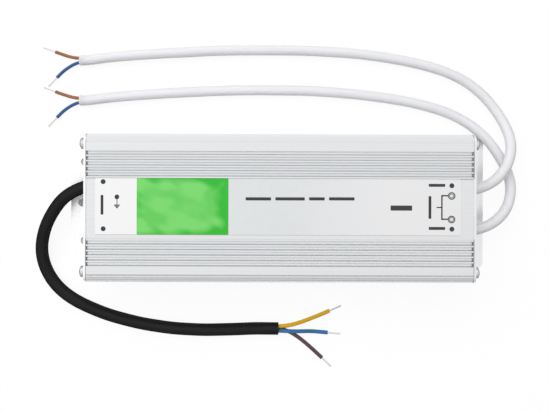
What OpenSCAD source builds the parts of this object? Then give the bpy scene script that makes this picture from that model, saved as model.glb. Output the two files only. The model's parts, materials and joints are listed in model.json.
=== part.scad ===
// Waterproof power supply: an extruded aluminium tube, closed by a bent plate at each end,
// with a mains cord at the input end, two output cords at the other and the circuit inside.
// X runs along the tube with the input end at -X. Z = 0 is the face that it rests on.

/* [Housing] */
// Length of the extruded tube
housing_length = 197.8; // [192:0.2:240]
// Width across the side walls
housing_width = 76.2; // [74:0.1:84]
// Height from the base to the rib tops
housing_height = 40; // [39:0.5:46]
// Thickness of the side walls
side_wall = 2.4; // [2:0.1:3]
// Thickness of the bottom wall
floor_wall = 3.2; // [2.8:0.1:3.6]
// Thickness of the top wall under the grooves
roof_wall = 2; // [1.6:0.1:2.6]
// Radius of the shoulders along the top
shoulder_r = 3.6; // [3:0.1:4]
// Radius of the edges along the base
base_edge_r = 1.5; // [1:0.1:2]

/* [Ribbed top] */
// Grooves on each side of the label band
groove_count = 5; // [3:1:5]
// Width of one groove
groove_width = 1.95; // [1.4:0.05:2]
// Width of the rib between two grooves
rib_width = 0.8; // [0.6:0.05:0.9]
// Depth of the grooves
groove_depth = 1.5; // [1.1:0.1:2]
// Width of the recessed label band
band_width = 31.3; // [30:0.1:32]
// Depth of the label band
band_depth = 0.5; // [0.4:0.1:0.8]
// Fine lines round each shoulder
shoulder_lines = 3; // [2:1:3]
// Width of a fine line
line_width = 0.6; // [0.4:0.1:0.8]
// Shallow grooves down each side wall
side_groove_count = 5; // [3:1:6]
// Width of a side groove
side_groove_width = 1.6; // [1:0.1:2]
// Depth of a side groove
side_groove_depth = 0.6; // [0.3:0.1:0.8]
// Distance from one side groove to the next
side_groove_pitch = 4.2; // [3.5:0.1:4.4]

/* [Screw ports] */
// Distance of each port from the side face, and of the upper ports from the top
port_inset = 5; // [4.4:0.05:5.2]
// Height of the lower ports above the base
lower_port_z = 6.6; // [6.2:0.1:7]
// Diameter of the port walls
port_d = 6.6; // [6:0.1:7]
// Diameter of the end screws
screw_d = 2.8; // [2.4:0.1:3]
// Length of the end screws under the head
screw_length = 12; // [8:0.5:16]
// Diameter of the screw heads
head_d = 5.8; // [5.4:0.1:6]
// Height of the screw heads
head_height = 3.1; // [2.4:0.1:3.2]
// Radial clearance of a screw in its port
screw_gap = 0.05; // [0.03:0.01:0.1]

/* [End plates] */
// Thickness of the bent sheet
plate_t = 1; // [0.8:0.1:1.4]
// Inner radius of the bend
bend_inner_r = 0.6; // [0.4:0.1:0.8]
// Length of the ear from the plate's outer face
ear_length = 16; // [15:0.5:20]
// Radius of the ear's corners
ear_corner_r = 5; // [3:0.5:7]
// Diameter of the mounting holes
mount_hole_d = 4.6; // [4.2:0.1:5.2]
// Distance between the two mounting holes of an ear
mount_spacing = 44.5; // [38:0.5:50]
// Distance of the mounting holes from the ear's outer edge
mount_inset = 7.7; // [7:0.1:8.6]
// Clearance of the end screws in the plates
plate_hole_gap = 0.2; // [0.1:0.05:0.3]
// Distance of the bonding screw from the ear's outer edge
bond_inset = 7; // [6.5:0.1:8.6]
// Diameter of the bonding screw's shank
bond_screw_d = 3; // [2.6:0.1:3.4]
// Thickness of the gaskets
gasket_t = 0.4; // [0.4:0.1:1]
// Inset of the gaskets from the outline
gasket_inset = 0.4; // [0.3:0.1:0.6]

/* [Cords] */
// Diameter of the input cord
input_cord_d = 6.9; // [6.5:0.1:7]
// Diameter of the output cords
output_cord_d = 5.7; // [5.3:0.1:5.8]
// Diameter of the input cores
input_core_d = 2.2; // [1.9:0.05:2.2]
// Diameter of the output cores
output_core_d = 1.85; // [1.6:0.05:2]
// Diameter of the bare ends of the input cores
input_strand_d = 1; // [0.8:0.05:1.2]
// Diameter of the bare ends of the output cores
output_strand_d = 0.9; // [0.7:0.05:1.1]
// Length of the bare ends
strand_length = 7.2; // [5:0.1:9]
// Radial clearance of a cord in its grommet
cord_gap = 0.25; // [0.2:0.05:0.4]
// Wall of the grommets' necks
grommet_wall = 1.3; // [1:0.1:1.6]
// How far the grommets' collars stand over their necks
grommet_lip = 1.6; // [1.2:0.1:2]
// How far the grommets stand out of the plates
grommet_reach = 3; // [2:0.1:3.4]
// Thickness of the grommets' inner flanges
grommet_flange_t = 1.5; // [1:0.1:2]

/* [Label] */
// Length of the label film
label_length = 187; // [170:1:190]
// Width of the label film
label_width = 28.8; // [26:0.1:29]
// Gap between the film and the upper edge of the band
label_gap = 0.15; // [0.1:0.05:0.3]
// Thickness of the label film
label_t = 0.2; // [0.1:0.05:0.25]
// Length of the green patch
patch_length = 46.8; // [40:0.2:52]
// Thickness of the green patch
patch_t = 0.12; // [0.08:0.02:0.14]

/* [Circuit board] */
// Distance from each end of the board to the end of the tube
board_inset = 7.5; // [6.5:0.5:9]
// Thickness of the board
board_t = 1.6; // [1:0.1:2]
// Height of the board's underside above the base
board_z = 11.5; // [11.2:0.1:12]
// Clearance of the board in its guides
board_gap = 0.25; // [0.15:0.05:0.35]
// How far the guides stand out of the side walls
guide_depth = 1.5; // [1.2:0.1:2]
// Thickness of the guides
guide_t = 1.2; // [1:0.1:1.4]
// Thickness of the insulating sheet under the board
sheet_t = 0.4; // [0.3:0.1:0.6]
// Space between neighbouring parts along the board
part_space = 2.6; // [2.2:0.1:3]
// Clearance between the transformer, the tallest part, and the top wall
roof_gap = 2.4; // [2:0.1:5]
// Distance of the small parts' centres from the board's long edges
edge_inset = 9; // [8:0.5:10]

/* [Board parts] */
// Fuse: length, width and height
fuse_size = [5, 9, 8]; // [3:0.5:12]
// Varistor: diameter and thickness
varistor_d = 11; // [9:0.5:12]
varistor_t = 4; // [3:0.5:5]
// Filter capacitor: length, width and height
filter_cap_size = [9, 19, 16]; // [6:0.5:22]
// Interference capacitor: diameter and thickness
disc_cap_d = 8; // [6:0.5:10]
disc_cap_t = 4; // [3:0.5:5]
// Filter choke: outer diameter, hole diameter and height of the ring core
choke_d = 21; // [18:0.5:23]
choke_hole_d = 11; // [10:0.5:12]
choke_core_h = 9; // [7:0.5:11]
// Thickness of the windings round the choke cores
winding_t = 1.6; // [1.2:0.1:2]
// Clearance between a winding and what it is wound on
winding_gap = 0.1; // [0.05:0.05:0.2]
// Bridge rectifier: length, width and height
bridge_size = [4, 21, 15]; // [3:0.5:24]
// Bulk capacitors: diameter and distance between their axes
bulk_cap_d = 18; // [16:0.5:19]
bulk_cap_spacing = 21; // [20:0.5:24]
// How much lower the capacitors are than the transformer
capacitor_drop = 1; // [0.5:0.5:4]
// Transformer core: length, width and height
core_size = [33, 33, 11]; // [10:0.5:36]
// Width of the core's centre leg
core_leg = 10; // [9:0.5:11]
// Thickness of the core's outer legs and yokes
core_yoke = 5; // [4.5:0.5:5.5]
// Wall of the bobbin
bobbin_t = 0.9; // [0.8:0.1:1.2]
// Transistors and diodes: width and thickness of the moulded bodies
switch_size = [10, 4.4]; // [4:0.1:11]
// Thickness of their metal tabs, their length over the bodies and the holes in them
tab_t = 1.3; // [1:0.1:1.5]
tab_length = 6; // [5:0.1:6.5]
tab_hole_d = 3.4; // [2.8:0.1:3.8]
// How far the heat spreaders reach past the tabs
tab_margin = 2; // [1:0.1:3]
// Pitch and width of their pins
pin_pitch = 2.54; // [2:0.01:3]
pin_width = 0.8; // [0.6:0.05:1]
// Distance between two transistors or diodes
switch_spacing = 15; // [13:0.5:18]
// Thickness of the heat spreader bars
spreader_t = 2.6; // [2:0.1:3]
// Thickness of the thermal pads
pad_t = 0.5; // [0.3:0.1:0.8]
// Output choke: outer diameter, hole diameter and height of the ring core
output_choke_d = 18; // [16:0.5:20]
output_choke_hole_d = 9.4; // [9:0.2:10]
output_choke_core_h = 7; // [6:0.5:8]
// Output capacitors: diameter and distance between their axes
output_cap_d = 10; // [8:0.5:10.5]
output_cap_spacing = 12; // [11.5:0.5:14]
// Optocoupler: length, width and height
optocoupler_size = [4.6, 6.5, 3.5]; // [3:0.1:7]
// Controller chip: length, width and height
controller_size = [10, 4, 1.6]; // [1:0.1:12]
// Inner leads: reach of the first one over the board, and of each next one past it
lead_reach = 5; // [4:0.5:6]
lead_step = 3; // [2.6:0.1:3.2]
// Clearance between the cores inside a cord
core_gap = 0.11; // [0.05:0.01:0.2]

/* [Hidden] */
$fn = 48;

// Overlap of a cutter past the face that it cuts
cut = 1;
// Radius in the corners of the cavity
cavity_r = 1.2;
// Clearance between two flat pieces that lie side by side
side_gap = 0.2;

// Inside of the tube
cavity_width = housing_width - 2 * side_wall;
cavity_top = housing_height - groove_depth - roof_wall;
cavity_height = cavity_top - floor_wall;

// Places along the tube
tube_end = housing_length / 2;
plate_inner = tube_end + gasket_t;
plate_outer = plate_inner + plate_t;
bend_outer_r = bend_inner_r + plate_t;
mount_x = plate_outer + ear_length - mount_inset;
bond_x = plate_outer + ear_length - bond_inset;

// Screw ports
port_y = housing_width / 2 - port_inset;
upper_port_z = housing_height - port_inset;
port_places = [for (y = [-port_y, port_y], z = [lower_port_z, upper_port_z]) [y, z]];
port_bore_d = screw_d + 2 * screw_gap;

// Grooves beside the label band
groove_pitch = groove_width + rib_width;
first_groove_y = band_width / 2 + rib_width + groove_width / 2;

// Side grooves, centred on the height of the wall
side_groove_z = housing_height / 2 - (side_groove_count - 1) * side_groove_pitch / 2;

// Cord exits: place across the plate and height above the base
input_exit = [9.9, 16];
output_exit_1 = [7.9, 16];
output_exit_2 = [-14.1, 16];

// Label and patch
label_z = housing_height - band_depth;
label_centre = [-1, band_width / 2 - label_gap - label_width / 2];
patch_centre = [-49.7, label_centre.y];
patch_width = label_width;

// Route of the input cord, from inside the housing to the cut end of its jacket
input_route = [
    [-93, 9.9, 16], [-100.5, 9.9, 16], [-108.89, 7.81, 15.7], [-117.43, 2.34, 14.5],
    [-123.15, -4.58, 12.7], [-128.02, -13.58, 10.2], [-130.79, -24.07, 7.6],
    [-130.96, -27.47, 6.8], [-130.13, -34.3, 5.4], [-126.15, -43.44, 3.9], [-119.4, -50.99, 3.5],
    [-109.98, -56.95, 3.5], [-97.91, -62.18, 3.5], [-83.47, -66.49, 3.5], [-67.03, -69.72, 3.5],
    [-48.58, -71.48, 3.5], [-30.1, -71.56, 3.5], [-11.6, -70.9, 3.5], [0.9, -70.9, 3.5]
];
// Routes of its cores, from the jacket's cut end
earth_route = [[0.9, -69.55, 3.9], [9.4, -68.6, 3], [19.4, -65.7, 1.2], [29.9, -61.3, 1.2]];
neutral_route = [[0.9, -71.9, 4.5], [10.4, -72.3, 4.1], [20.4, -73, 1.2], [28.9, -73.7, 1.2]];
live_route = [[0.9, -71.25, 2.15], [6.4, -72.9, 1.4], [15.4, -78.8, 1.2], [25.6, -87.9, 1.2]];

// Routes of the output cords, from inside the housing to the cut ends of their jackets
output_route_1 = [
    [93, 7.9, 16], [100.5, 7.9, 16], [110.13, 9.37, 15.9], [118.41, 13.7, 15.3],
    [124.9, 21.1, 13.8], [128.31, 30.77, 11.3], [128.46, 34.68, 10], [127.53, 40.33, 8],
    [123.2, 50.1, 5], [115.4, 60.3, 3.3], [103.32, 69.4, 3], [86.17, 76.16, 3], [66.91, 80.45, 3],
    [47.85, 83.19, 3], [28.8, 84.62, 3], [9.8, 85.32, 3], [1, 85.38, 3], [-9.2, 85.33, 3],
    [-28.2, 85.19, 3], [-47.2, 84.3, 3], [-66.24, 83.31, 3], [-85.3, 81.96, 3],
    [-101.28, 80.2, 3], [-109.2, 79.3, 3], [-111.2, 79.3, 3]
];
output_route_2 = [
    [93, -14.1, 16], [100.5, -14.1, 16], [110.2, -12.8, 15.3], [118.36, -9.51, 13.4],
    [126.06, -2.27, 10.5], [129.62, 7.84, 7.4], [129.73, 10.04, 6.86], [129.55, 12.82, 6.2],
    [128.67, 16.84, 5.3],
    [124.11, 26.43, 4.4], [116.74, 36.19, 4.3], [105.65, 45.39, 3.5], [90.46, 52.27, 3],
    [71.55, 56.96, 3], [52.94, 59.78, 3], [33.9, 61.66, 3], [14.9, 62.67, 3], [-4.1, 62.88, 3],
    [-23.1, 62.75, 3], [-42.1, 62.05, 3], [-61.13, 61.05, 3], [-82.17, 59.58, 3],
    [-101.17, 57.6, 3], [-109.1, 56.8, 3], [-111.1, 56.8, 3]
];
// Routes of the two cores of an output cord, from the middle of the jacket's cut end
brown_steps = [[0, 1.25, 0], [-7, 2.5, -1.9], [-14.4, 5, -1.9]];
blue_steps = [[0, -1.25, 0], [-4.5, -2.6, -1.3], [-9.5, -5.8, -1.9], [-13.4, -9.6, -1.9]];
brown_route_1 = [for (step = brown_steps) output_route_1[len(output_route_1) - 1] + step];
blue_route_1 = [for (step = blue_steps) output_route_1[len(output_route_1) - 1] + step];
brown_route_2 = [for (step = brown_steps) output_route_2[len(output_route_2) - 1] + step];
blue_route_2 = [for (step = blue_steps) output_route_2[len(output_route_2) - 1] + step];

// Angle of the first fine line from the shoulder's upper end, and from one line to the next
first_line_angle = -8;
line_angle_step = 20;

// Sides of the tubes that stand for jackets and cores
jacket_sides = 10;
core_sides = 8;

// Board and the stations of its parts, each one space after the last from the input end
board_length = housing_length - 2 * board_inset;
board_width = cavity_width - 2 * board_gap;
board_top = board_z + board_t;
board_start = -board_length / 2;
edge_y = board_width / 2 - edge_inset;
lead_zone = lead_reach + 2 * lead_step + input_core_d;
fuse_x = board_start + part_space + fuse_size.x / 2;
filter_cap_x = board_start + lead_zone + part_space + filter_cap_size.x / 2;
choke_x = filter_cap_x + filter_cap_size.x / 2 + part_space + choke_d / 2 + winding_t;
bridge_x = choke_x + choke_d / 2 + winding_t + part_space + bridge_size.x / 2;
bulk_cap_x = bridge_x + bridge_size.x / 2 + part_space + bulk_cap_d / 2;
transformer_x = bulk_cap_x + bulk_cap_d / 2 + part_space + core_size.x / 2;
output_choke_x = transformer_x + core_size.x / 2 + part_space + output_choke_d / 2 + winding_t;
output_cap_x = output_choke_x + output_choke_d / 2 + winding_t + part_space + output_cap_d / 2;
transistor_x = transformer_x - switch_spacing / 2;
diode_x = output_choke_x - switch_spacing / 2;

// Heat spreaders stand between the guides and the upper ports, against the side walls
spreader_bottom = board_top + board_gap + guide_t + side_gap;
spreader_top = upper_port_z - port_d / 2 - side_gap;
spreader_height = spreader_top - spreader_bottom;
switch_height = spreader_height - tab_margin;
spreader_length = 2 * switch_spacing + switch_size.x;
spreader_outer_y = cavity_width / 2 - pad_t;
tab_y = spreader_outer_y - spreader_t;

// Heights over the board
bobbin_h = cavity_top - board_top - roof_gap;
capacitor_h = bobbin_h - capacitor_drop;

function unit(v) = v / norm(v);

// Direction of travel at point i of a route: between the segments before and after it
function heading(route, i) = unit(
    (i < len(route) - 1 ? unit(route[i + 1] - route[i]) : [0, 0, 0])
    + (i > 0 ? unit(route[i] - route[i - 1]) : [0, 0, 0]));

// Ring of points round point i of a route, square to the direction ahead
function ring(route, i, ahead, radius, sides) =
    let (
        side = unit(cross(ahead, [0, 0, 1])),
        up = cross(side, ahead)
    )
    [for (k = [0:sides - 1]) route[i] + radius * (cos(360 * k / sides) * side + sin(360 * k / sides) * up)];

// Tube swept along a route, whose first face looks back along start when that is given
module tube_along(route, diameter, sides, start) {
    last = len(route) - 1;
    points = [
        for (i = [0:last])
            let (ahead = i == 0 && !is_undef(start) ? start : heading(route, i))
            each ring(route, i, ahead, diameter / 2, sides)
    ];
    start_cap = [[for (k = [0:sides - 1]) k]];
    end_cap = [[for (k = [sides - 1:-1:0]) last * sides + k]];
    walls = [
        for (i = [0:last - 1], k = [0:sides - 1])
            let (a = i * sides + k, b = i * sides + (k + 1) % sides)
            each [[a, a + sides, b], [b, a + sides, b + sides]]
    ];
    polyhedron(points, concat(start_cap, walls, end_cap));
}

// Straight wire that carries on from the end of a route
module wire_end(route, diameter) {
    last = len(route) - 1;
    ahead = heading(route, last);
    translate(route[last])
        rotate([0, acos(ahead.z), atan2(ahead.y, ahead.x)])
            cylinder(h = strand_length, d = diameter);
}

// Section shape in the YZ plane carried along +X from x = start
module along_x(start, length) {
    translate([start, 0, 0])
        rotate([90, 0, 90])
            linear_extrude(length) children();
}

// Rectangle on the base line with its own radius at the top and at the base
module rounded_section(width, height, top_r, base_r) {
    translate([-width / 2, base_r]) square([width, height - top_r - base_r]);
    translate([-width / 2 + top_r, base_r]) square([width - 2 * top_r, height - base_r]);
    translate([-width / 2 + base_r, 0]) square([width - 2 * base_r, height - top_r]);
    for (side = [-1, 1]) {
        translate([side * (width / 2 - top_r), height - top_r]) circle(top_r);
        translate([side * (width / 2 - base_r), base_r]) circle(base_r);
    }
}

// Groove with a round bottom, cut down from y = 0
module groove_section(width, depth) {
    translate([-width / 2, -depth + width / 2]) square([width, depth - width / 2 + cut]);
    translate([0, -depth + width / 2]) circle(width / 2);
}

// Space inside the tube, less the port walls and the guides of the board
module cavity_section() {
    difference() {
        translate([0, floor_wall])
            rounded_section(cavity_width, cavity_height, cavity_r, cavity_r);
        for (place = port_places) {
            translate(place) circle(d = port_d);
            port_web(place);
        }
        for (side = [-1, 1]) {
            guide_section(side, board_z - guide_t);
            guide_section(side, board_top + board_gap);
        }
    }
}

// Metal between a port wall and the corner that it stands in
module port_web(place) {
    outward = sign(place.x);
    upward = place.y > housing_height / 2 ? 1 : -1;
    corner = [outward * housing_width / 2, upward > 0 ? housing_height : 0];
    low_y = min(place.x, corner.x);
    low_z = min(place.y, corner.y);
    translate([min(place.x - outward * port_d / 2, corner.x), low_z])
        square([abs(corner.x - place.x) + port_d / 2, abs(corner.y - place.y)]);
    translate([low_y, min(place.y - upward * port_d / 2, corner.y)])
        square([abs(corner.x - place.x), abs(corner.y - place.y) + port_d / 2]);
}

// Guide that stands out of a side wall, with its lower face at z
module guide_section(side, z) {
    inner_y = cavity_width / 2 - guide_depth;
    translate([side > 0 ? inner_y : -inner_y - guide_depth - cut, z])
        square([guide_depth + cut, guide_t]);
}

// Cross-section of the extruded tube
module housing_section() {
    difference() {
        rounded_section(housing_width, housing_height, shoulder_r, base_edge_r);
        cavity_section();
        for (place = port_places) translate(place) circle(d = port_bore_d);
        translate([-band_width / 2, housing_height - band_depth]) square([band_width, band_depth + cut]);
        for (side = [-1, 1], i = [0:groove_count - 1])
            translate([side * (first_groove_y + i * groove_pitch), housing_height])
                groove_section(groove_width, groove_depth);
        for (side = [-1, 1], i = [0:shoulder_lines - 1])
            translate([side * (housing_width / 2 - shoulder_r), housing_height - shoulder_r])
                rotate(-side * (first_line_angle + i * line_angle_step))
                    translate([0, shoulder_r]) circle(d = line_width);
        for (side = [-1, 1], i = [0:side_groove_count - 1])
            translate([side * housing_width / 2, side_groove_z + i * side_groove_pitch])
                rotate(-side * 90)
                    groove_section(side_groove_width, side_groove_depth + side_groove_width / 2);
    }
}

module housing() {
    color("silver") along_x(-tube_end, housing_length) housing_section();
}

// Runs its children at the output end, or mirrored at the input end
module at_end(end) {
    mirror([end > 0 ? 0 : 1, 0, 0]) children();
}

// What a corner of radius r takes away, for a corner at the origin that opens to -x and -y
module corner_cutter(r) {
    difference() {
        translate([-r, -r]) square(r + cut);
        translate([-r, -r]) circle(r);
    }
}

// Bent sheet of the output end: upright, bend and ear
module plate_blank() {
    width = housing_width;
    difference() {
        union() {
            translate([plate_inner, -width / 2, bend_outer_r])
                cube([plate_t, width, housing_height - bend_outer_r]);
            translate([plate_inner + bend_outer_r, -width / 2, 0])
                cube([plate_t + ear_length - bend_outer_r, width, plate_t]);
            translate([plate_inner + bend_outer_r, width / 2, bend_outer_r])
                rotate([90, 0, 0])
                    intersection() {
                        linear_extrude(width) difference() {
                            circle(bend_outer_r);
                            circle(bend_inner_r);
                        }
                        translate([-bend_outer_r, -bend_outer_r, 0])
                            cube([bend_outer_r, bend_outer_r, width]);
                    }
        }
        for (side = [-1, 1]) mirror([0, side > 0 ? 0 : 1, 0]) {
            along_x(plate_inner - cut, plate_t + 2 * cut)
                translate([width / 2, housing_height]) corner_cutter(shoulder_r);
            translate([plate_outer + ear_length, width / 2, -cut])
                linear_extrude(plate_t + 2 * cut) corner_cutter(ear_corner_r);
        }
    }
}

// End plate with the holes for its screws and for the cords at the given exits
module end_plate(end, exits, cord_d) {
    at_end(end) difference() {
        plate_blank();
        for (place = port_places)
            along_x(plate_inner - cut, plate_t + 2 * cut)
                translate(place) circle(d = screw_d + 2 * plate_hole_gap);
        for (exit = exits)
            along_x(plate_inner - cut, plate_t + 2 * cut)
                translate(exit) circle(d = neck_d(cord_d));
        for (side = [-1, 1])
            translate([mount_x, side * mount_spacing / 2, -cut])
                cylinder(h = plate_t + 2 * cut, d = mount_hole_d);
        translate([bond_x, 0, -cut])
            cylinder(h = plate_t + 2 * cut, d = bond_screw_d + 2 * screw_gap);
    }
}

// Gasket sheet between an end plate and the tube
module gasket(end, exits, cord_d) {
    at_end(end) along_x(tube_end, gasket_t) difference() {
        intersection() {
            translate([0, gasket_inset])
                rounded_section(
                    housing_width - 2 * gasket_inset, housing_height - 2 * gasket_inset,
                    shoulder_r - gasket_inset, base_edge_r - gasket_inset);
            translate([-housing_width / 2, bend_outer_r]) square([housing_width, housing_height]);
        }
        for (place = port_places) translate(place) circle(d = screw_d + 2 * plate_hole_gap);
        for (exit = exits) translate(exit) circle(d = neck_d(cord_d));
    }
}

module input_end_plate() {
    color("gainsboro") end_plate(-1, [input_exit], input_cord_d);
}

module output_end_plate() {
    color("gainsboro") end_plate(1, [output_exit_1, output_exit_2], output_cord_d);
}

module input_gasket() {
    color("lightgray") gasket(-1, [input_exit], input_cord_d);
}

module output_gasket() {
    color("lightgray") gasket(1, [output_exit_1, output_exit_2], output_cord_d);
}

// Pan head screw along +Z, with its seat at z = 0 and a cross recess
module pan_head_screw(shank_d, length) {
    dome_r = head_d * 0.8;
    recess_width = 0.8;
    recess_depth = 1.1;
    difference() {
        union() {
            translate([0, 0, -length]) cylinder(h = length, d = shank_d);
            intersection() {
                cylinder(h = head_height, d = head_d);
                translate([0, 0, head_height - dome_r]) sphere(dome_r);
            }
        }
        for (turn = [0, 90]) rotate(turn)
            translate([-head_d * 0.3, -recess_width / 2, head_height - recess_depth])
                cube([head_d * 0.6, recess_width, recess_depth + cut]);
    }
}

module end_screws(end) {
    at_end(end) for (place = port_places)
        translate([plate_outer, place.x, place.y])
            rotate([0, 90, 0]) pan_head_screw(screw_d, screw_length);
}

module input_end_screws() {
    color("lightgray") end_screws(-1);
}

module output_end_screws() {
    color("lightgray") end_screws(1);
}

module bonding_screws() {
    color("slategray") for (end = [-1, 1])
        translate([end * bond_x, 0, plate_t]) pan_head_screw(bond_screw_d, plate_t);
}

module label_film() {
    color("whitesmoke")
        translate([label_centre.x - label_length / 2, label_centre.y - label_width / 2, label_z])
            cube([label_length, label_width, label_t]);
}

module green_patch() {
    color("limegreen")
        translate([patch_centre.x - patch_length / 2, patch_centre.y - patch_width / 2, label_z + label_t])
            cube([patch_length, patch_width, patch_t]);
}

// Diameter of the plate hole that a grommet's neck fills
function neck_d(cord_d) = cord_d + 2 * cord_gap + 2 * grommet_wall;

// Rubber grommet in the output plate: flared collar outside, neck in the plate, flange inside
module grommet(exit, cord_d) {
    bore_r = cord_d / 2 + cord_gap;
    flare_r = bore_r + 0.9;
    neck_r = neck_d(cord_d) / 2;
    collar_r = neck_r + grommet_lip;
    edge = 0.8;
    translate([0, exit.x, exit.y]) rotate([0, 90, 0]) rotate_extrude() polygon([
        [bore_r, tube_end - grommet_flange_t], [collar_r, tube_end - grommet_flange_t],
        [collar_r, tube_end], [neck_r, tube_end], [neck_r, plate_outer], [collar_r, plate_outer],
        [collar_r, plate_outer + grommet_reach - edge], [collar_r - edge, plate_outer + grommet_reach],
        [flare_r, plate_outer + grommet_reach], [bore_r, plate_outer]
    ]);
}

module input_grommet() {
    color("black") at_end(-1) grommet(input_exit, input_cord_d);
}

module output_grommet_1() {
    color("white") grommet(output_exit_1, output_cord_d);
}

module output_grommet_2() {
    color("white") grommet(output_exit_2, output_cord_d);
}

module input_cord() {
    color("black") tube_along(input_route, input_cord_d, jacket_sides);
}

// Core that starts flat on the cut end of its jacket
module core(route, diameter, jacket_route) {
    tube_along(route, diameter, core_sides, heading(jacket_route, len(jacket_route) - 1));
}

module earth_core() {
    color("goldenrod") core(earth_route, input_core_d, input_route);
}

module neutral_core() {
    color("royalblue") core(neutral_route, input_core_d, input_route);
}

module live_core() {
    color("saddlebrown") core(live_route, input_core_d, input_route);
}

module input_wire_ends() {
    color("silver") for (route = [earth_route, neutral_route, live_route])
        wire_end(route, input_strand_d);
}

module output_cord_1() {
    color("white") tube_along(output_route_1, output_cord_d, jacket_sides);
}

module output_1_brown_core() {
    color("chocolate") core(brown_route_1, output_core_d, output_route_1);
}

module output_1_blue_core() {
    color("navy") core(blue_route_1, output_core_d, output_route_1);
}

module output_1_wire_ends() {
    color("silver") for (route = [brown_route_1, blue_route_1]) wire_end(route, output_strand_d);
}

module output_cord_2() {
    color("white") tube_along(output_route_2, output_cord_d, jacket_sides);
}

module output_2_brown_core() {
    color("chocolate") core(brown_route_2, output_core_d, output_route_2);
}

module output_2_blue_core() {
    color("navy") core(blue_route_2, output_core_d, output_route_2);
}

module output_2_wire_ends() {
    color("silver") for (route = [brown_route_2, blue_route_2]) wire_end(route, output_strand_d);
}

module insulating_sheet() {
    width = 2 * (port_y - port_d / 2) - 2 * side_gap;
    color("white") translate([-board_length / 2, -width / 2, floor_wall])
        cube([board_length, width, sheet_t]);
}

module circuit_board() {
    color("darkgreen") translate([board_start, -board_width / 2, board_z])
        cube([board_length, board_width, board_t]);
}

// Box that stands on the board with its centre at x, y
module board_box(x, y, size) {
    translate([x - size.x / 2, y - size.y / 2, board_top]) cube(size);
}

// Ring core that lies flat, held over the board by the windings round it
module ring_core(x, y, outer_d, hole_d, height) {
    translate([x, y, board_top + winding_t + winding_gap]) difference() {
        cylinder(h = height, d = outer_d);
        translate([0, 0, -cut]) cylinder(h = height + 2 * cut, d = hole_d);
    }
}

// Winding over part of a ring core, from one angle to another
module ring_winding(x, y, outer_d, hole_d, height, from, to) {
    inner_r = hole_d / 2 - winding_gap;
    outer_r = outer_d / 2 + winding_gap;
    translate([x, y, board_top]) rotate(from) rotate_extrude(angle = to - from) difference() {
        translate([inner_r - winding_t, 0])
            square([outer_r - inner_r + 2 * winding_t, height + 2 * (winding_t + winding_gap)]);
        translate([inner_r, winding_t])
            square([outer_r - inner_r, height + 2 * winding_gap]);
    }
}

module fuse() {
    color("sienna") board_box(fuse_x, -edge_y, fuse_size);
}

module varistor() {
    color("royalblue") translate([fuse_x - varistor_t / 2, edge_y, board_top + varistor_d / 2 + side_gap])
        rotate([0, 90, 0]) cylinder(h = varistor_t, d = varistor_d);
}

module filter_capacitor() {
    color("khaki") board_box(filter_cap_x, -edge_y + edge_inset / 2, filter_cap_size);
}

module interference_capacitor() {
    color("deepskyblue")
        translate([filter_cap_x - disc_cap_t / 2, edge_y, board_top + disc_cap_d / 2 + side_gap])
            rotate([0, 90, 0]) cylinder(h = disc_cap_t, d = disc_cap_d);
}

module filter_choke_core() {
    color("darkslategray") ring_core(choke_x, 0, choke_d, choke_hole_d, choke_core_h);
}

module filter_choke_windings() {
    sweep = 140;
    color("peru") for (middle = [90, 270])
        ring_winding(
            choke_x, 0, choke_d, choke_hole_d, choke_core_h, middle - sweep / 2, middle + sweep / 2);
}

module bridge_rectifier() {
    color("dimgray") board_box(bridge_x, 0, bridge_size);
}

module bulk_capacitors() {
    color("midnightblue") for (side = [-1, 1])
        translate([bulk_cap_x, side * bulk_cap_spacing / 2, board_top])
            cylinder(h = capacitor_h, d = bulk_cap_d);
}

// Middle height of the transformer's core, halfway up its bobbin
core_mid_z = board_top + bobbin_h / 2;
// Length of each window of the core, along the centre leg
window_length = core_size.x - 2 * core_yoke;

module transformer_core() {
    window_width = (core_size.y - 2 * core_yoke - core_leg) / 2;
    color("darkslategray") translate([transformer_x, 0, core_mid_z]) difference() {
        translate(-core_size / 2) cube(core_size);
        for (side = [-1, 1])
            translate([0, side * (core_leg + window_width) / 2, 0])
                cube([window_length, window_width, core_size.z + 2 * cut], center = true);
    }
}

// Bobbin round the core's centre leg: a sleeve with a flange at each end
module transformer_bobbin() {
    flange_width = core_size.y - 2 * core_yoke - 2 * side_gap;
    sleeve_outer = [window_length - 2 * side_gap, core_leg + 2 * (side_gap + bobbin_t), core_size.z + 2 * (side_gap + bobbin_t)];
    color("ivory") translate([transformer_x, 0, core_mid_z]) difference() {
        union() {
            cube(sleeve_outer, center = true);
            for (end = [-1, 1])
                translate([end * (sleeve_outer.x - bobbin_t) / 2, 0, 0])
                    cube([bobbin_t, flange_width, bobbin_h], center = true);
        }
        cube([sleeve_outer.x + 2 * cut, core_leg + 2 * side_gap, core_size.z + 2 * side_gap], center = true);
    }
}

module transformer_winding() {
    inner = [core_leg + 2 * (side_gap + bobbin_t + winding_gap), core_size.z + 2 * (side_gap + bobbin_t + winding_gap)];
    outer = [core_size.y - 2 * core_yoke - 4 * side_gap, bobbin_h - 1.6];
    length = window_length - 2 * side_gap - 2 * bobbin_t - 2 * winding_gap;
    color("gold") translate([transformer_x, 0, core_mid_z]) difference() {
        cube([length, outer.x, outer.y], center = true);
        cube([length + 2 * cut, inner.x, inner.y], center = true);
    }
}

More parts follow.
